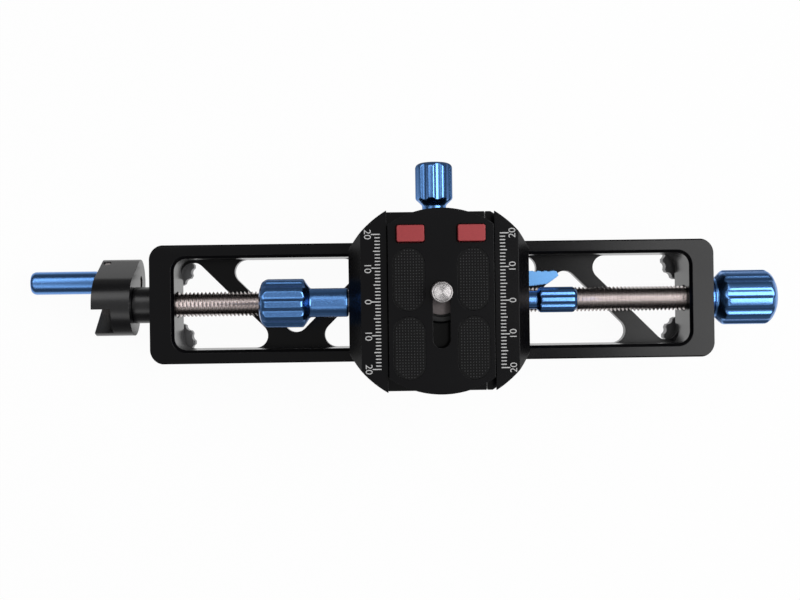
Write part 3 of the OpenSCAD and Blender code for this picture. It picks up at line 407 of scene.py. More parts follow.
def pale_floor():
    material = bpy.data.materials.new("pale_floor")
    material.use_nodes = True
    nodes, links = material.node_tree.nodes, material.node_tree.links
    nodes.clear()
    paper = nodes.new("ShaderNodeBsdfDiffuse")
    paper.inputs["Color"].default_value = PAPER
    white = nodes.new("ShaderNodeEmission")
    mirrored = nodes.new("ShaderNodeEmission")
    rays = nodes.new("ShaderNodeLightPath")
    place = nodes.new("ShaderNodeTexCoord")
    split = nodes.new("ShaderNodeSeparateXYZ")
    aside = nodes.new("ShaderNodeMath")
    aside.operation = "ABSOLUTE"
    fade = nodes.new("ShaderNodeMapRange")
    fade.inputs["From Min"].default_value, fade.inputs["From Max"].default_value = FLOOR_FADE
    fade.inputs["To Min"].default_value = FLOOR_NEAR
    fade.inputs["To Max"].default_value = FLOOR_FAR
    links.new(place.outputs["Object"], split.inputs["Vector"])
    links.new(split.outputs["Y"], aside.inputs[0])
    links.new(aside.outputs[0], fade.inputs["Value"])
    links.new(fade.outputs["Result"], mirrored.inputs["Strength"])
    either = nodes.new("ShaderNodeMath")
    either.operation = "MAXIMUM"
    links.new(rays.outputs["Is Glossy Ray"], either.inputs[0])
    links.new(rays.outputs["Is Transmission Ray"], either.inputs[1])
    seen = nodes.new("ShaderNodeMath")
    seen.operation = "MULTIPLY"
    seen.inputs[1].default_value = FLOOR_SEEN
    links.new(rays.outputs["Is Camera Ray"], seen.inputs[0])
    in_gloss, to_camera = nodes.new("ShaderNodeMixShader"), nodes.new("ShaderNodeMixShader")
    out = nodes.new("ShaderNodeOutputMaterial")
    links.new(either.outputs[0], in_gloss.inputs[0])
    links.new(paper.outputs[0], in_gloss.inputs[1])
    links.new(mirrored.outputs[0], in_gloss.inputs[2])
    links.new(seen.outputs[0], to_camera.inputs[0])
    links.new(in_gloss.outputs[0], to_camera.inputs[1])
    links.new(white.outputs[0], to_camera.inputs[2])
    links.new(to_camera.outputs[0], out.inputs["Surface"])
    return material


bpy.ops.object.select_all(action="DESELECT")
bpy.ops.mesh.primitive_plane_add(size=FLOOR_SIZE, location=(0, 0, FLOOR_Z))
floor = bpy.context.object
floor.name = "floor"
floor.data.materials.append(pale_floor())

# %% World and lamps
bpy.context.scene.view_settings.view_transform = "Standard"
WORLD_LEVEL = 0.30
CEILING_GLOSS, WALL_GLOSS = 0.50, 0.13   # what glossy things see straight above and around
CEILING_FROM, CEILING_TO = 0.5, 0.78      # height of the direction where wall turns into ceiling
LAMPS_AIM = Vector((0, 0, 0.02))
SOFT_BOXES = (                            # name, place and size in metres, brightness
    ("box_right", (0.53, 0.06, 0.78), (0.85, 0.70), 3.6),
    ("box_far", (-0.50, 0.48, 0.80), (0.9, 0.45), 1.3),
    ("box_near", (-0.50, -0.48, 0.80), (0.9, 0.35), 0.8),
)


def studio_world():
    world = bpy.data.worlds.new("studio")
    world.use_nodes = True
    nodes, links = world.node_tree.nodes, world.node_tree.links
    nodes.clear()
    rays = nodes.new("ShaderNodeLightPath")
    levels = []
    for strength in (WORLD_LEVEL, CEILING_GLOSS, 1):
        level = nodes.new("ShaderNodeBackground")
        level.inputs["Strength"].default_value = strength
        levels.append(level)
    direction = nodes.new("ShaderNodeTexCoord")
    split = nodes.new("ShaderNodeSeparateXYZ")
    ceiling = nodes.new("ShaderNodeMapRange")
    ceiling.inputs["From Min"].default_value = CEILING_FROM
    ceiling.inputs["From Max"].default_value = CEILING_TO
    ceiling.inputs["To Min"].default_value = WALL_GLOSS
    ceiling.inputs["To Max"].default_value = CEILING_GLOSS
    links.new(direction.outputs["Generated"], split.inputs["Vector"])
    links.new(split.outputs["Z"], ceiling.inputs["Value"])
    links.new(ceiling.outputs["Result"], levels[1].inputs["Strength"])
    first = nodes.new("ShaderNodeMixShader")
    second = nodes.new("ShaderNodeMixShader")
    out = nodes.new("ShaderNodeOutputWorld")
    links.new(rays.outputs["Is Glossy Ray"], first.inputs[0])
    links.new(levels[0].outputs[0], first.inputs[1])
    links.new(levels[1].outputs[0], first.inputs[2])
    links.new(rays.outputs["Is Camera Ray"], second.inputs[0])
    links.new(first.outputs[0], second.inputs[1])
    links.new(levels[2].outputs[0], second.inputs[2])
    links.new(second.outputs[0], out.inputs["Surface"])
    return world


def soft_box(name, place, size, brightness):
    """A rectangular lamp that looks at the object; brightness is how white it looks in a mirror."""
    data = bpy.data.lights.new(name, "AREA")
    data.shape = "RECTANGLE"
    data.size, data.size_y = size
    data.energy = brightness * math.pi * size[0] * size[1]
    lamp = bpy.data.objects.new(name, data)
    lamp.location = place
    lamp.rotation_euler = (LAMPS_AIM - Vector(place)).to_track_quat("-Z", "Y").to_euler()
    bpy.context.scene.collection.objects.link(lamp)
    return lamp


bpy.context.scene.world = studio_world()
for box in SOFT_BOXES:
    soft_box(*box)

# %% [markdown]
# ## Effects shared by the finishes
# Real machined metal is never one flat colour. Two small node groups are built once and used by every
# finish: `grain` makes the fine speckle of a blasted or cast surface, and `broken_edge` finds the
# edges, rounds their shading and marks where a finish wears thin. On the black finishes that mark is
# also a painted highlight: their pale edge colour stands in for the thin bright lines along the edges.

# %% Group helpers
def new_group(name, inputs, outputs):
    group = bpy.data.node_groups.new(name, "ShaderNodeTree")
    for label, default in inputs:
        socket = group.interface.new_socket(label, in_out="INPUT", socket_type="NodeSocketFloat")
        socket.default_value = default
    for label, kind in outputs:
        group.interface.new_socket(label, in_out="OUTPUT", socket_type=kind)
    return group, group.nodes.new("NodeGroupInput"), group.nodes.new("NodeGroupOutput")


def grain_group():
    group, start, end = new_group(
        "grain",
        [("Scale", 2500), ("Patch Scale", 60)],
        [("Speckle", "NodeSocketFloat"), ("Patch", "NodeSocketFloat")],
    )
    nodes, links = group.nodes, group.links
    place = nodes.new("ShaderNodeTexCoord")
    fine = nodes.new("ShaderNodeTexNoise")
    fine.inputs["Detail"].default_value = 4
    fine.inputs["Roughness"].default_value = 0.6
    wide = nodes.new("ShaderNodeTexNoise")
    wide.inputs["Detail"].default_value = 2
    for texture, scale, result in ((fine, "Scale", "Speckle"), (wide, "Patch Scale", "Patch")):
        links.new(place.outputs["Object"], texture.inputs["Vector"])
        links.new(start.outputs[scale], texture.inputs["Scale"])
        links.new(texture.outputs["Fac"], end.inputs[result])
    return group


def broken_edge_group():
    group, start, end = new_group(
        "broken_edge",
        [("Radius", 0.0003), ("Breakup Scale", 900)],
        [("Wear And Highlight", "NodeSocketFloat"), ("Normal", "NodeSocketVector")],
    )
    nodes, links = group.nodes, group.links
    bevel = nodes.new("ShaderNodeBevel")
    bevel.samples = 4
    geometry = nodes.new("ShaderNodeNewGeometry")
    dot = nodes.new("ShaderNodeVectorMath")
    dot.operation = "DOT_PRODUCT"
    turn = nodes.new("ShaderNodeMapRange")
    turn.inputs["From Min"].default_value = 0.97
    turn.inputs["From Max"].default_value = 0.80
    place = nodes.new("ShaderNodeTexCoord")
    noise = nodes.new("ShaderNodeTexNoise")
    noise.inputs["Detail"].default_value = 3
    cut = nodes.new("ShaderNodeMapRange")
    cut.inputs["From Min"].default_value = 0.42
    cut.inputs["From Max"].default_value = 0.62
    both = nodes.new("ShaderNodeMath")
    both.operation = "MULTIPLY"
    links.new(start.outputs["Radius"], bevel.inputs["Radius"])
    links.new(bevel.outputs["Normal"], dot.inputs[0])
    links.new(geometry.outputs["Normal"], dot.inputs[1])
    links.new(dot.outputs["Value"], turn.inputs["Value"])
    links.new(place.outputs["Object"], noise.inputs["Vector"])
    links.new(start.outputs["Breakup Scale"], noise.inputs["Scale"])
    links.new(noise.outputs["Fac"], cut.inputs["Value"])
    links.new(turn.outputs["Result"], both.inputs[0])
    links.new(cut.outputs["Result"], both.inputs[1])
    # The mask is wear along the edges; on the black finishes it also places a painted edge highlight.
    links.new(both.outputs[0], end.inputs["Wear And Highlight"])
    links.new(bevel.outputs["Normal"], end.inputs["Normal"])
    return group


GRAIN = grain_group()
BROKEN_EDGE = broken_edge_group()
print("groups", [g.name for g in bpy.data.node_groups])

# %% [markdown]
# ## Finishes
# Each finish is one material with the shader in it. `start_finish` lays out what they have in common:
# the grain in the roughness and the bump, and an edge colour mixed into the colour along the edges:
# real wear, and on the black finishes a painted highlight as well.

# %% Finish helper
def start_finish(name, colour, wear_and_highlight_colour, rough, metallic=0.0, grain=2500, bump=0.05,
                 spread=0.05, edge=0.0002, wear_and_highlight_strength=0.5, bump_depth=0.00002):
    """Builds a finish and returns (material, shader, nodes, links, bump node)."""
    material = bpy.data.materials.new(name)
    material.use_nodes = True
    nodes, links = material.node_tree.nodes, material.node_tree.links
    shader = nodes["Principled BSDF"]
    shader.inputs["Metallic"].default_value = metallic
    speckle = nodes.new("ShaderNodeGroup")
    speckle.node_tree = GRAIN
    speckle.inputs["Scale"].default_value = grain
    edges = nodes.new("ShaderNodeGroup")
    edges.node_tree = BROKEN_EDGE
    edges.inputs["Radius"].default_value = edge
    roughness = nodes.new("ShaderNodeMapRange")
    roughness.inputs["To Min"].default_value = rough - spread
    roughness.inputs["To Max"].default_value = rough + spread
    links.new(speckle.outputs["Patch"], roughness.inputs["Value"])
    links.new(roughness.outputs["Result"], shader.inputs["Roughness"])
    amount = nodes.new("ShaderNodeMath")
    amount.operation = "MULTIPLY"
    amount.inputs[1].default_value = wear_and_highlight_strength
    links.new(edges.outputs["Wear And Highlight"], amount.inputs[0])
    tone = nodes.new("ShaderNodeMix")
    tone.data_type = "RGBA"
    tone.inputs["A"].default_value = (*[c * 0.8 for c in colour], 1)
    tone.inputs["B"].default_value = (*[min(1, c * 1.2) for c in colour], 1)
    links.new(speckle.outputs["Speckle"], tone.inputs["Factor"])
    # Along the edges the colour turns to the edge colour: wear, and on the black finishes a painted
    # highlight that draws their thin bright lines.
    mix = nodes.new("ShaderNodeMix")
    mix.data_type = "RGBA"
    mix.inputs["B"].default_value = (*wear_and_highlight_colour, 1)
    links.new(amount.outputs[0], mix.inputs["Factor"])
    links.new(tone.outputs["Result"], mix.inputs["A"])
    links.new(mix.outputs["Result"], shader.inputs["Base Color"])
    relief = nodes.new("ShaderNodeBump")
    relief.inputs["Strength"].default_value = bump
    relief.inputs["Distance"].default_value = bump_depth
    links.new(speckle.outputs["Speckle"], relief.inputs["Height"])
    links.new(edges.outputs["Normal"], relief.inputs["Normal"])
    links.new(relief.outputs["Normal"], shader.inputs["Normal"])
    return material, shader, nodes, links, relief


# %% Black, grey, red and pale blue anodising
def black_anodised(name, colour, wear_and_highlight_colour, specular, rough):
    material, shader, *_ = start_finish(name, colour, wear_and_highlight_colour, rough, bump=0.12, grain=3500, wear_and_highlight_strength=0.5)
    shader.inputs["Specular IOR Level"].default_value = specular
    return material


def plain_anodised(name, colour, wear_and_highlight_colour, rough, metallic):
    return start_finish(name, colour, wear_and_highlight_colour, rough, metallic, bump=0.3, grain=3500, wear_and_highlight_strength=0.45)[0]


# %% [markdown]
# ## Turned metal
# A lathe leaves fine grooves that run round the work. On the side of a knob they cross the axis as
# bands, and on an end face they are rings, which pull every reflection into two bright fans.

# %% Turned finishes
WAVE_AT_ONE = 0.314      # the length of one wave when the texture's scale is 1


def turned(name, axis, colour, wear_and_highlight_colour, rough, pitch=0.12, groove=0.25, rings=None, metallic=1.0):
    """A lathe-turned finish: bands along the axis, or rings about a given centre."""
    material, shader, nodes, links, relief = start_finish(
        name, colour, wear_and_highlight_colour, rough, metallic=metallic, bump=groove, grain=1800, wear_and_highlight_strength=0.25)
    place = nodes.new("ShaderNodeTexCoord")
    centred = nodes.new("ShaderNodeMapping")
    wave = nodes.new("ShaderNodeTexWave")
    wave.inputs["Scale"].default_value = WAVE_AT_ONE / (pitch * MM)
    wave.inputs["Distortion"].default_value = 0.6
    wave.inputs["Detail"].default_value = 2
    if rings:
        wave.wave_type = "RINGS"
        wave.rings_direction = axis
        centred.inputs["Location"].default_value = tuple(-c for c in rings)
    else:
        wave.wave_type = "BANDS"
        wave.bands_direction = axis
    links.new(place.outputs["Object"], centred.inputs["Vector"])
    links.new(centred.outputs["Vector"], wave.inputs["Vector"])
    links.new(wave.outputs["Fac"], relief.inputs["Height"])
    return material


BLUE = (0.155, 0.36, 0.80)
BLUE_WORN = (0.42, 0.62, 0.88)
STEEL = (0.60, 0.545, 0.535)
STEEL_WORN = (0.8, 0.78, 0.76)
screw_low, screw_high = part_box("camera_screw")
CAMERA_SCREW = ((screw_low.x + screw_high.x) / 2, (screw_low.y + screw_high.y) / 2, 0)

# %% [markdown]
# ## Rubber and paint
# The plate's pads are dull rubber, a little greyer where it stands up in studs. The scale is printed
# in light grey ink that is slightly uneven.

# %% Rubber that is greyer on its studs
STUD_HEIGHT = 0.2 * MM


def studded_rubber():
    """Rubber that is lighter grey on the studs' tops and darker between them."""
    material, shader, nodes, links, _ = start_finish(
        "studded_rubber", (0.0012, 0.0012, 0.0014), (0.02, 0.02, 0.021), 0.68, bump=0.6, grain=3000,
        wear_and_highlight_strength=0.3, bump_depth=0.00004)
    shader.inputs["Specular IOR Level"].default_value = 0.2
    place = nodes.new("ShaderNodeTexCoord")
    split = nodes.new("ShaderNodeSeparateXYZ")
    height = nodes.new("ShaderNodeMapRange")
    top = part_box("plate_rubbers")[1].z
    height.inputs["From Min"].default_value = top - STUD_HEIGHT
    height.inputs["From Max"].default_value = top
    mix = nodes.new("ShaderNodeMix")
    mix.data_type = "RGBA"
    mix.inputs["B"].default_value = (0.038, 0.038, 0.0395, 1)
    links.new(place.outputs["Object"], split.inputs["Vector"])
    links.new(split.outputs["Z"], height.inputs["Value"])
    links.new(height.outputs["Result"], mix.inputs["Factor"])
    links.new(shader.inputs["Base Color"].links[0].from_socket, mix.inputs["A"])
    links.new(mix.outputs["Result"], shader.inputs["Base Color"])
    return material


# %% The finishes, ready to use
FINISH = {
    # The three black finishes' pale edge colours are partly wear and partly painted highlight, drawing the
    # thin bright lines along their edges.
    "black": black_anodised("black_anodised", (0.0015, 0.0014, 0.0020), (0.09, 0.09, 0.095), 0.24, 0.18),
    "satin": black_anodised("satin_black", (0.0022, 0.0021, 0.003), (0.12, 0.12, 0.125), 0.72, 0.25),
    # The screw head's rim: its much paler edge colour is mostly a painted highlight, the bright ring round
    # the head's edge, besides some wear.
    "rim": black_anodised("black_rim_wear_and_highlight", (0.003, 0.003, 0.0035), (0.42, 0.41, 0.41), 0.4, 0.3),
    "grey": plain_anodised("grey_anodised", (0.20, 0.20, 0.205), (0.5, 0.5, 0.5), 0.36, 0.6),
    "pale_blue": plain_anodised("pale_blue_anodised", (0.15, 0.38, 0.74), (0.5, 0.68, 0.95), 0.45, 0.6),
    "red": plain_anodised("red_anodised", (0.33, 0.036, 0.041), (0.62, 0.25, 0.27), 0.45, 0.3),
    "blue_x": turned("blue_anodised_x", "X", BLUE, BLUE_WORN, 0.20),
    "blue_y": turned("blue_anodised_y", "Y", BLUE, BLUE_WORN, 0.20),
    "steel_x": turned("steel_x", "X", STEEL, STEEL_WORN, 0.25, groove=0.03),
    "steel_y": turned("steel_y", "Y", STEEL, STEEL_WORN, 0.27),
    "steel_z": turned("steel_z", "Z", STEEL, STEEL_WORN, 0.27),
    "steel_face": turned("steel_face", "Z", (0.37, 0.355, 0.355), STEEL_WORN, 0.18, pitch=0.16,
                         groove=0.8, rings=CAMERA_SCREW),
    # The washer's steel is darkened to paint the shade it lies in; it is the same steel as the screw.
    "steel_in_painted_shade": turned("steel_in_painted_shade", "Z", (0.13, 0.115, 0.115), STEEL, 0.35, rings=CAMERA_SCREW),
    "bronze": plain_anodised("bronze", (0.55, 0.36, 0.13), (0.85, 0.65, 0.35), 0.34, 1.0),
    "rubber": start_finish("black_rubber", (0.009, 0.009, 0.0095), (0.045, 0.045, 0.047), 0.62,
                           bump=0.6, grain=3000, wear_and_highlight_strength=0.8, bump_depth=0.00004)[0],
    "studs": studded_rubber(),
    "paint": start_finish("scale_paint", (0.55, 0.55, 0.55), (0.35, 0.35, 0.35), 0.6, bump=0.3,
                          grain=6000, wear_and_highlight_strength=0.2)[0],
}
print("finishes", sorted(FINISH))

# %% Every machined part gets its finish
BY_SLOT = {"black_anodised": "black", "grey_anodised": "grey", "blue_anodised": "blue_x",
           "pale_blue_anodised": "pale_blue", "steel": "steel_x", "bronze": "bronze",
           "red_anodised": "red", "black_rubber": "rubber"}
finish_of = {part["node"]: BY_SLOT[part["material_slot"]] for part in frame["record"]["subparts"]}
finish_of.update(lock_knob="blue_y", lock_screw="steel_y", camera_screw="steel_face",
                 slot_washer="steel_in_painted_shade", half_nut_spring="steel_y", crank_arm="satin",
                 crank_collar="satin", screw_head="rim")
for node, finish in finish_of.items():
    materials = frame["nodes"][node].data.materials
    materials.clear()
    materials.append(FINISH[finish])

# %% [markdown]
# ## Broken edges
# A milled part leaves the machine with a small chamfer on every edge, and that thin bright line is
# what tells metal from a drawing. A copy of each part's mesh is merged, its flat faces are dissolved
# back to single ones, and a bevel rounds the sharp edges. The copy then stands for the part. On the
# clamp the engraved scale marks are filled first, because the scale is printed on afterwards.

# %% Bevelled copies
CLAMP_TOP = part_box("clamp_body")[1].z
MARK_REACH = 0.2 * MM      # how far below the top the marks' faces are looked for


def in_mark(face):
    """Whether a face belongs to an engraved mark and not to the clamp's top."""
    return CLAMP_TOP - MARK_REACH < face.center.z < CLAMP_TOP - 0.01 * MM


def plain_copy(node, filled=False):
    """A copy of a part's mesh as one clean skin with whole flat faces."""
    piece = bpy.data.objects.new(node + "_dressed", frame["nodes"][node].data.copy())
    bpy.context.scene.collection.objects.link(piece)
    edit(piece)
    bpy.ops.mesh.select_all(action="SELECT")
    bpy.ops.mesh.remove_doubles(threshold=MERGE_WITHIN)
    done()
    if filled:
        pick(piece, in_mark)
        edit(piece, "FACE")
        bpy.ops.mesh.delete(type="FACE")
        bpy.ops.mesh.select_mode(type="EDGE")
        bpy.ops.mesh.select_all(action="DESELECT")
        bpy.ops.mesh.select_non_manifold(extend=False)
        bpy.ops.mesh.fill_holes(sides=0)
        done()
    edit(piece)
    bpy.ops.mesh.select_all(action="SELECT")
    bpy.ops.mesh.dissolve_limited(angle_limit=math.radians(0.3))
    done()
    return piece


def break_edges(piece, width, angle=28, segments=2):
    """Bevels every edge that is sharper than the angle."""
    edit(piece, "EDGE")
    bpy.ops.mesh.select_all(action="DESELECT")
    bpy.ops.mesh.edges_select_sharp(sharpness=math.radians(angle))
    bpy.ops.transform.edge_bevelweight(value=1)
    done()
    bevel = piece.modifiers.new("broken edges", "BEVEL")
    bevel.limit_method = "WEIGHT"
    bevel.width = width
    bevel.segments = segments
    bevel.use_clamp_overlap = True
    apply_all(piece)
    smooth(piece)
    weighted = piece.modifiers.new("flat faces stay flat", "WEIGHTED_NORMAL")
    weighted.keep_sharp = True
    return apply_all(piece)


def machined(node, width, filled=False):
    """The part's copy with its edges broken, standing for the part."""
    piece = break_edges(plain_copy(node, filled), width * MM)
    return named(piece, node + "_dressed", finish_of[node], node)


# %% [markdown]
# ## The rail's corners
# From above, the bar's corners are rounded, but the solid's arcs stop short at the sides of its top
# flange. A box with rounded upright edges is laid round a copy of the bar, and only what lies inside
# the box is kept. The radius comes from three corners of the bar's outline in the photograph, and is
# good to about 0.4 mm.

# %% Rounded corners
RAIL_CORNER = 4.8 * MM
CORNER_SEGMENTS = 10
BLOCK_ROOM = Vector((0.02, 0.02, 2)) * MM    # the box is larger by this, so that no faces coincide


def round_corners(piece, low, high, radius):
    """Keeps only what lies within a box whose upright edges are rounded."""
    bpy.ops.object.select_all(action="DESELECT")
    bpy.ops.mesh.primitive_cube_add(size=1, location=(low + high) / 2)
    block = bpy.context.object
    block.scale = high - low + BLOCK_ROOM
    settle(block)

    def upright(edge):
        first, second = [block.data.vertices[v].co.z for v in edge.vertices]
        return abs(first - second) > MM

    print("upright edges rounded", pick(block, upright, "EDGE"))
    edit(block, "EDGE")
    bpy.ops.mesh.bevel(offset=radius, segments=CORNER_SEGMENTS)
    done()
    return cut_away(piece, block, "INTERSECT")


rail = round_corners(plain_copy("rail_frame"), rail_low, rail_high, RAIL_CORNER)
named(break_edges(rail, 0.25 * MM), "rail_frame_dressed", finish_of["rail_frame"], "rail_frame")

# %% The other machined parts, with their edges' widths in mm
for node, width in (
    ("saddle", 0.3), ("nut_housing", 0.2), ("camera_plate", 0.25),
    ("crank_arm", 0.35), ("crank_collar", 0.3), ("release_lever", 0.15), ("stop_left", 0.2),
    ("stop_right", 0.2), ("handle_stem", 0.2), ("pan_retainer", 0.2), ("half_nut", 0.2),
    ("foot_a", 0.2), ("foot_b", 0.2), ("foot_c", 0.2), ("foot_d", 0.2),
):
    print(node, "faces", len(machined(node, width).data.polygons))
for node in ("clamp_body", "moving_jaw"):
    print(node, "faces", len(machined(node, 0.3, filled=True).data.polygons))

# %% [markdown]
# ## The millimetre scale
# The clamp carries a scale on both jaws: a mark for every millimetre, longer at the fives and longest
# at the tens, with numbers beside the tens. The ink is a skin a few hundredths thick. Each kind of
# mark is drawn once and repeated with Array modifiers, and the numbers are text turned into a mesh.

# %% Marks and numbers
INK_SUNK = 0.02 * MM
INK_PROUD = 0.03 * MM
MARK_WIDTH = 0.35 * MM
NUMBER_HEIGHT = 2.05 * MM
NUMBER_STRETCH = 1.06
TEXT_DEPTH = 0.02          # the text's own thickness before it is scaled down to ink
SCALE_END = 20
LENGTH_ONE, LENGTH_FIVE, LENGTH_TEN = 1.65 * MM, 2.1 * MM, 2.7 * MM


def ink_mark(x_start, length, first, runs):
    """A mark from x_start outwards, repeated along Y by (count, millimetres) runs."""
    bpy.ops.object.select_all(action="DESELECT")
    bpy.ops.mesh.primitive_cube_add(size=1, location=(x_start + length / 2, first * MM, CLAMP_TOP))
    mark = bpy.context.object
    mark.scale = (abs(length), MARK_WIDTH, INK_SUNK + INK_PROUD)
    mark.location.z += (INK_PROUD - INK_SUNK) / 2
    settle(mark)
    pick(mark, lambda edge: abs(sum(mark.data.vertices[v].co.z for v in edge.vertices) / 2
                                - CLAMP_TOP - (INK_PROUD - INK_SUNK) / 2) < 1e-6, "EDGE")
    edit(mark, "EDGE")
    bpy.ops.mesh.bevel(offset=0.13 * MM, segments=3)
    done()
    for count, pitch in runs:
        repeat(mark, count, (0, pitch * MM, 0))
    return apply_all(mark)


def ink_number(label, x, y, turn):
    bpy.ops.object.select_all(action="DESELECT")
    bpy.ops.object.text_add()
    text = bpy.context.object
    text.data.body = label
    text.data.align_x = "CENTER"
    text.data.extrude = TEXT_DEPTH / 2
    text.data.resolution_u = 6
    bpy.ops.object.convert(target="MESH")
    low_y = min(v.co.y for v in text.data.vertices)
    high_y = max(v.co.y for v in text.data.vertices)
    size = NUMBER_HEIGHT / (high_y - low_y)
    middle = (low_y + high_y) / 2
    depth = (INK_SUNK + INK_PROUD) / TEXT_DEPTH
    text.matrix_world = Matrix.Translation((x, y, CLAMP_TOP + (INK_PROUD - INK_SUNK) / 2)) \
        @ Matrix.Rotation(turn, 4, "Z") @ Matrix.Diagonal((size * NUMBER_STRETCH, size, depth, 1)) \
        @ Matrix.Translation((0, -middle, 0))
    return settle(text)


def scale(name, body, side, x_start, x_numbers):
    """One jaw's scale; side is -1 on the left, where the numbers' tops point right."""
    pieces = [ink_mark(x_start, side * LENGTH_ONE, 1 - SCALE_END, [(4, 1), (8, 5)]),
              ink_mark(x_start, side * LENGTH_FIVE, 5 - SCALE_END, [(4, 10)]),
              ink_mark(x_start, side * LENGTH_TEN, -SCALE_END, [(5, 10)])]
    for tens in (-2, -1, 0, 1, 2):
        pieces.append(ink_number(str(abs(tens) * 10), x_numbers, tens * 10 * MM, side * math.pi / 2))
    return named(join(pieces, name), name, "paint", body=body)


scale_left = scale("scale_left", "clamp", -1, -16.75 * MM, -20.45 * MM)
scale_right = scale("scale_right", "jaw", 1, 18.8 * MM, 22.45 * MM)
print("scale faces", len(scale_left.data.polygons), len(scale_right.data.polygons))

# %% [markdown]
# ## The lead screw
# The rail's drive is a steel bar with an 8 mm right-hand thread of 1.25 mm pitch, and plain turned
# ends that run in the bushes. The thread is wound as on the lathe, and the ends are spun and joined.

# %% Lead screw
SCREW_Z = middle_z("lead_screw")
SCREW_LOW, SCREW_HIGH = [v.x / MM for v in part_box("lead_screw")]
PITCH = 1.25
THREAD_END, JOURNAL_END = 84.8, 90.1
ROOT_R, JOURNAL_R, SHAFT_R = 3.3, 3.5, 3.0
AXIS = (0, 0, SCREW_Z)
one_turn = [(4.0, 0), (4.0, 0.07), (3.94, 0.12), (3.42, 0.5), (3.36, 0.56), (3.36, 0.69),
            (3.42, 0.75), (3.94, 1.13), (4.0, 1.18), (4.0, PITCH)]
thread = wind_thread(one_turn, PITCH, math.ceil(2 * THREAD_END / PITCH) + 2, "X", -THREAD_END,
                     THREAD_END, AXIS)
journals = [
    lathe(soften([(0, s * THREAD_END - s), (ROOT_R, s * THREAD_END - s), (ROOT_R, s * THREAD_END),
                  (JOURNAL_R, s * THREAD_END), (JOURNAL_R, s * JOURNAL_END),
                  (SHAFT_R, s * JOURNAL_END), (SHAFT_R, end), (0, end)], 0.15),
          "X", AXIS, 48)
    for s, end in ((-1, SCREW_LOW), (1, SCREW_HIGH))]
lead_screw = named(join([thread] + journals, "lead_screw_cut"), "lead_screw_cut", "steel_x", "lead_screw")
print("thread faces", len(lead_screw.data.polygons))

# %% [markdown]
# ## The blue knobs
# All four knobs are turned from bar, fluted and anodised blue. Each profile is drawn from the face
# next to the body out to the rounded end, and the steps down the list are what a caliper would read.

# %% Knob profiles
def knob(node, profile, rounding, axis, centre, radius, count, turn, finish, depth=0.65, columns=18):
    profile = divided(soften(profile, rounding), 0.9)
    piece = lathe(profile, axis, centre, count * columns)
    pressed = press_flutes(piece, axis, Vector(centre), radius * MM, count, math.radians(turn), depth * MM)
    print(node, "pressed", pressed, "of", len(piece.data.vertices))
    return named(piece, node + "_turned", finish, node)


def crowned(start, crown, radius, end):
    """A profile that ends in a rounded crown, given as (inset, distance from the end)."""
    return start + [(radius - inset, end - back) for inset, back in crown] + [(0, end)]


BODY_X = 0.9
rail_end = rail_high.x / MM
drive = crowned([(0, 0.3), (6.2, 0.3), (6.2, 0.85), (5.85, 1.1), (6.2, 1.35), (6.2, 2.1), (8.85, 4.75)],
                [(0, 3.2), (1.2, 1.7), (3.2, 0.5), (5.4, 0)], 8.85, 22)
knob("drive_knob", drive, 0.6, "X", (rail_high.x, 0, SCREW_Z), 8.85, 10, 11.5, "blue_x")

lock_z = middle_z("lock_screw")
lock = crowned([(0, 24.8), (3.85, 24.8), (3.85, 30.7), (5.95, 32.7)],
               [(0, 1.5), (0.5, 0.7), (1.6, 0.2), (3.2, 0)], 5.95, 44.5)
knob("lock_knob", lock, 0.45, "Y", (BODY_X * MM, 0, lock_z), 5.95, 8, 33, "blue_y")

clamp_screw_z = middle_z("clamp_screw")
clamp = crowned([(0, -27.4), (4.0, -27.4), (4.4, -27.8), (4.4, -38.9), (4.8, -39.3), (7.45, -41.1)],
                [(0, -2.2), (1, -0.8), (3.2, 0)], 7.45, -54.4)
knob("clamp_knob", clamp, 0.5, "X", (BODY_X * MM, 0, clamp_screw_z), 7.45, 10, 3.3, "blue_x")

pan_z = middle_z("pan_lock_screw")
pan = crowned([(0, 25.7), (2.8, 25.7), (2.8, 31.4), (4, 32.6)], [(0, 1.1), (1, 0)], 4, 44)
knob("pan_lock_knob", pan, 0.3, "X", (BODY_X * MM, 0, pan_z), 4, 8, 0, "blue_x", depth=0.35)

# %% [markdown]
# ## Handle, bushes and soles
# The folding handle's grip is a plain turned sleeve. The bushes are bronze rings with a lead-in
# chamfer, and each foot stands on a rubber sole with moulded rings.

# %% Turned small parts
grip_low, grip_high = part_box("handle_grip")
grip_axis = (0, (grip_low.y + grip_high.y) / 2, (grip_low.z + grip_high.z) / 2)
grip_r, grip_out, grip_in = (grip_high.y - grip_low.y) / 2 / MM, grip_low.x / MM, grip_high.x / MM
grip = lathe(soften([(0, grip_out), (2.7, grip_out), (3.3, grip_out + 0.25), (grip_r, grip_out + 1.2),
                     (grip_r, grip_in - 0.4), (grip_r - 0.4, grip_in), (0, grip_in)], 0.5),
             "X", grip_axis, 64)
named(grip, "handle_grip_turned", "blue_x", "handle_grip")

for side, node in ((-1, "screw_bush_left"), (1, "screw_bush_right")):
    inner, outer = side * (rail_end - 5), side * rail_end
    ring = [(3.54, inner), (6, inner), (6, outer - side * 0.3), (5.7, outer), (3.84, outer),
            (3.54, outer - side * 0.3), (3.54, inner)]
    named(lathe(ring, "X", AXIS, 64), node + "_turned", "bronze", node)

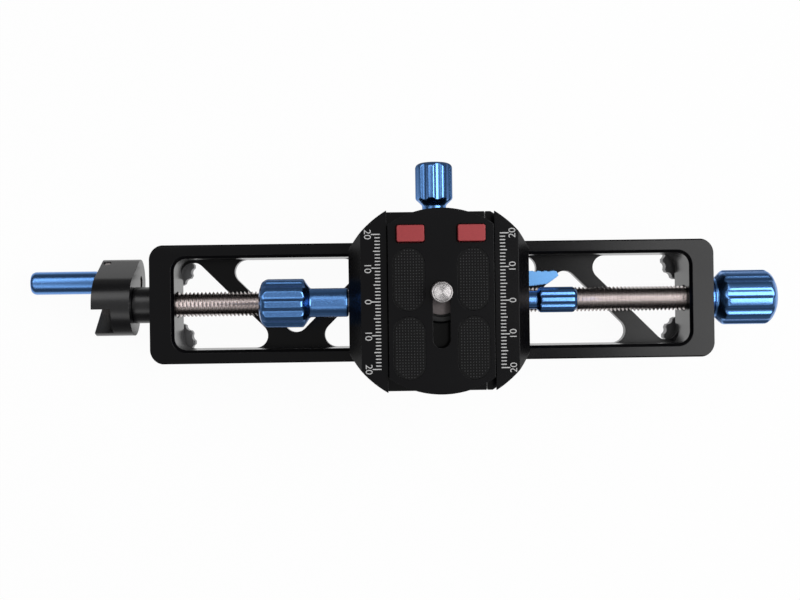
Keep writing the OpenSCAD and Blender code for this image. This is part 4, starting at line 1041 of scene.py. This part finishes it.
for corner in "abcd":
    low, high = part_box("sole_" + corner)
    radius, top, bottom = (high.x - low.x) / 2 / MM, high.z / MM, low.z / MM
    rings = [(0, top), (radius, top), (radius, bottom + 0.2), (radius - 0.2, bottom)]
    for groove in (4.2, 2.8, 1.4):
        rings += [(groove + 0.3, bottom), (groove + 0.15, bottom + 0.25), (groove - 0.15, bottom + 0.25),
                  (groove - 0.3, bottom)]
    place = ((low.x + high.x) / 2, (low.y + high.y) / 2, 0)
    named(lathe(rings + [(0, bottom)], "Z", place, 64), "sole_" + corner + "_moulded", "rubber",
          "sole_" + corner)
print("turned parts done")

# %% [markdown]
# ## The plate's rubber pads
# Four long ovals of rubber keep the camera from turning. Their tops carry a grid of small studs. The
# sheet is the part's own shape, pressed down to the foot of the studs. One stud is a little pyramid
# with its tip cut off, repeated by two arrays; those that would stand over the rim are deleted.

# %% Studded pads
STUD_PITCH = 0.86 * MM
STUD_FOOT = 0.30 * MM
pads = plain_copy("plate_rubbers")
pad_low, pad_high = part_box("plate_rubbers")
pick(pads, lambda vertex: vertex.co.z > pad_high.z - 0.01 * MM, "VERT")
edit(pads)
bpy.ops.transform.translate(value=(0, 0, -STUD_HEIGHT))
done()
break_edges(pads, 0.12 * MM)
PAD_WIDTH, PAD_LENGTH = 9.4 * MM, 18.7 * MM
middle_x = (pad_low.x + pad_high.x) / 2
pad_centres = [(middle_x + side * (pad_high.x - pad_low.x - PAD_WIDTH) / 2, y)
               for side in (-1, 1) for y in (pad_low.y + PAD_LENGTH / 2, pad_high.y - PAD_LENGTH / 2)]


def inside_pad(x, y, centre):
    """How far a place lies inside the rim of a pad."""
    straight = (PAD_LENGTH - PAD_WIDTH) / 2
    dy = max(abs(y - centre[1]) - straight, 0)
    return PAD_WIDTH / 2 - math.hypot(x - centre[0], dy)


def studs(centre):
    columns, rows = int(PAD_WIDTH / STUD_PITCH), int(PAD_LENGTH / STUD_PITCH)
    start = (centre[0] - (columns - 1) * STUD_PITCH / 2, centre[1] - (rows - 1) * STUD_PITCH / 2)
    bpy.ops.object.select_all(action="DESELECT")
    bpy.ops.mesh.primitive_cone_add(vertices=8, radius1=STUD_FOOT, radius2=STUD_FOOT * 0.6,
                                    depth=STUD_HEIGHT * 1.2, end_fill_type="NGON",
                                    location=(*start, pad_high.z - STUD_HEIGHT * 0.6))
    field = settle(bpy.context.object)
    repeat(field, columns, (STUD_PITCH, 0, 0))
    repeat(field, rows, (0, STUD_PITCH, 0))
    apply_all(field)

    def over_rim(vertex):
        column = start[0] + round((vertex.co.x - start[0]) / STUD_PITCH) * STUD_PITCH
        row = start[1] + round((vertex.co.y - start[1]) / STUD_PITCH) * STUD_PITCH
        return inside_pad(column, row, centre) < STUD_FOOT + 0.1 * MM

    pick(field, over_rim, "VERT")
    edit(field)
    bpy.ops.mesh.delete(type="VERT")
    done()
    return field


pads = join([pads] + [studs(centre) for centre in pad_centres], "pads_moulded")
named(pads, "pads_moulded", "studs", "plate_rubbers")
print("pads faces", len(pads.data.polygons))

# %% [markdown]
# ## The camera screw
# In the plate's slot runs the screw that holds the camera: a black head with a raised rim, a steel
# washer lying in that rim, and a quarter-inch thread of twenty turns to the inch, with a chamfered
# tip whose face shows the lathe's rings. A slot in the head takes a coin from below.

# %% Camera screw
CAMERA_PITCH = 1.27
COIN_SLOT = (2 * MM, 30 * MM, 2.4 * MM)
plate_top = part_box("camera_plate")[1].z / MM
head_z, tip_z = screw_low.z / MM, screw_high.z / MM
camera_turn = [(3.15, 0), (3.15, 0.08), (2.62, 0.52), (2.62, 0.75), (3.15, 1.19), (3.15, CAMERA_PITCH)]
camera_thread = wind_thread(camera_turn, CAMERA_PITCH, 6, "Z", plate_top + 0.4, tip_z - 0.6, CAMERA_SCREW)
shank = lathe(soften([(0, head_z), (2.5, head_z), (2.5, tip_z - 0.9), (3.12, tip_z - 0.62),
                      (3.12, tip_z - 0.14), (3.0, tip_z - 0.02), (2.72, tip_z - 0.02),
                      (2.68, tip_z - 0.14), (2.56, tip_z - 0.14), (2.52, tip_z), (0, tip_z)], 0.05),
              "Z", CAMERA_SCREW)


def coin_cutter():
    bpy.ops.object.select_all(action="DESELECT")
    bpy.ops.mesh.primitive_cube_add(size=1, location=(CAMERA_SCREW[0], CAMERA_SCREW[1], screw_low.z))
    cutter = bpy.context.object
    cutter.scale = COIN_SLOT
    return settle(cutter)


cut_away(shank, coin_cutter())
named(join([shank, camera_thread], "camera_screw_cut"), "camera_screw_cut", "steel_face", "camera_screw")
head_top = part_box("screw_head")[1].z / MM
head = lathe(soften([(2.52, head_z), (9.3, head_z), (9.3, head_top - 0.6), (8.7, head_top), (7.3, head_top),
                     (7.15, head_top - 0.6), (2.52, head_top - 0.6), (2.52, head_z)], 0.12),
             "Z", CAMERA_SCREW)
# The rim finish paints a bright highlight ring along the head's rounded edges.
named(cut_away(head, coin_cutter()), "screw_head_turned", "rim", "screw_head")
washer_low, washer_high = [v.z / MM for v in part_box("slot_washer")]
washer = lathe(soften([(2.54, washer_low), (6.7, washer_low), (6.7, washer_high), (2.54, washer_high),
                       (2.54, washer_low)], 0.15), "Z", CAMERA_SCREW)
# The washer's darker steel is painted shade.
named(washer, "slot_washer_turned", "steel_in_painted_shade", "slot_washer")

# %% [markdown]
# ## Springs
# The springs are hidden, but they are real: round wire wound into coils, as long as their pockets.
# The half nut and the two stops squeeze theirs, each against the end that its pocket holds, and the
# wire is thin enough for the coils to close up that far.

# %% Coil springs
SPRING_TURNS = 4
JAW_SPRING_OUT = 18      # mm from the clamp screw to each guide rod
jaw_z = middle_z("jaw_guides")
jaw_from, jaw_to = [v.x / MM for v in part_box("jaw_springs")]
named(join([coil("X", 2.6, 0.55, jaw_from, jaw_to, 6, (0, side * JAW_SPRING_OUT * MM, jaw_z))
            for side in (-1, 1)], "jaw_springs_wound"), "jaw_springs_wound", "steel_x", "jaw_springs")
for node, axis, outer, wire, joint, travel, held in (
    ("half_nut_spring", "Y", 2.2, 0.45, "nut_slide", 1.0, "high"),
    ("stop_spring_left", "Z", 1.8, 0.35, "left_stop_press", 2.0, "low"),
    ("stop_spring_right", "Z", 1.8, 0.35, "right_stop_press", 2.0, "low"),
):
    low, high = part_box(node)
    middle = (low + high) / 2
    index = "XYZ".index(axis)
    start, end = low[index] / MM, high[index] / MM
    middle[index] = 0
    spring = named(coil(axis, outer, wire, start, end, SPRING_TURNS, middle), node + "_wound",
                   finish_of[node], node)
    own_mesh(spring)
    print(node, "closes from", round(end - start, 2), "to", round(end - start - travel, 2),
          "mm, solid at", round((SPRING_TURNS + 1) * wire, 2))

# %% [markdown]
# ## Small screws
# The set screws and the housing's screws are driven with a hex key, so each gets a six-sided socket
# in its open end.

# %% Hex sockets
def socket_cutter(place, direction, across, depth):
    bpy.ops.object.select_all(action="DESELECT")
    bpy.ops.mesh.primitive_cylinder_add(vertices=6, radius=across / math.sqrt(3) * MM, depth=2 * depth * MM)
    cutter = bpy.context.object
    cutter.matrix_world = Matrix.Translation(place) @ direction.to_track_quat("Z", "Y").to_matrix().to_4x4()
    return settle(cutter)


def socketed(node, places, direction, finish="steel_z", across=1.5, depth=1.2):
    piece = break_edges(plain_copy(node), 0.15 * MM)
    for place in places:
        cut_away(piece, socket_cutter(place, direction, across, depth))
    smooth(piece)
    return named(piece, node + "_cut", finish, node)


grub_low, grub_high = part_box("knob_grub_screw")
socketed("knob_grub_screw", [((grub_low.x + grub_high.x) / 2, 0, grub_low.z)], Vector((0, 0, -1)))
ARM_ANGLE = math.radians(55)
arm_down = Vector((0, -math.sin(ARM_ANGLE), -math.cos(ARM_ANGLE)))
arm_grub_low, arm_grub_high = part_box("crank_grub_screw")
ARM_GRUB_OUT = 9.2       # mm from the lead screw's axis to the set screw's open end
arm_grub = Vector(((arm_grub_low.x + arm_grub_high.x) / 2, 0, SCREW_Z)) + arm_down * ARM_GRUB_OUT * MM
socketed("crank_grub_screw", [arm_grub], arm_down, finish="black")
HOUSING_SCREWS = ((-16.5, -9.8), (-16.5, 9.8), (16.5, -9.8))
housing_screw_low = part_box("housing_screws")[0].z
socketed("housing_screws", [((BODY_X + x) * MM, y * MM, housing_screw_low) for x, y in HOUSING_SCREWS],
         Vector((0, 0, -1)))
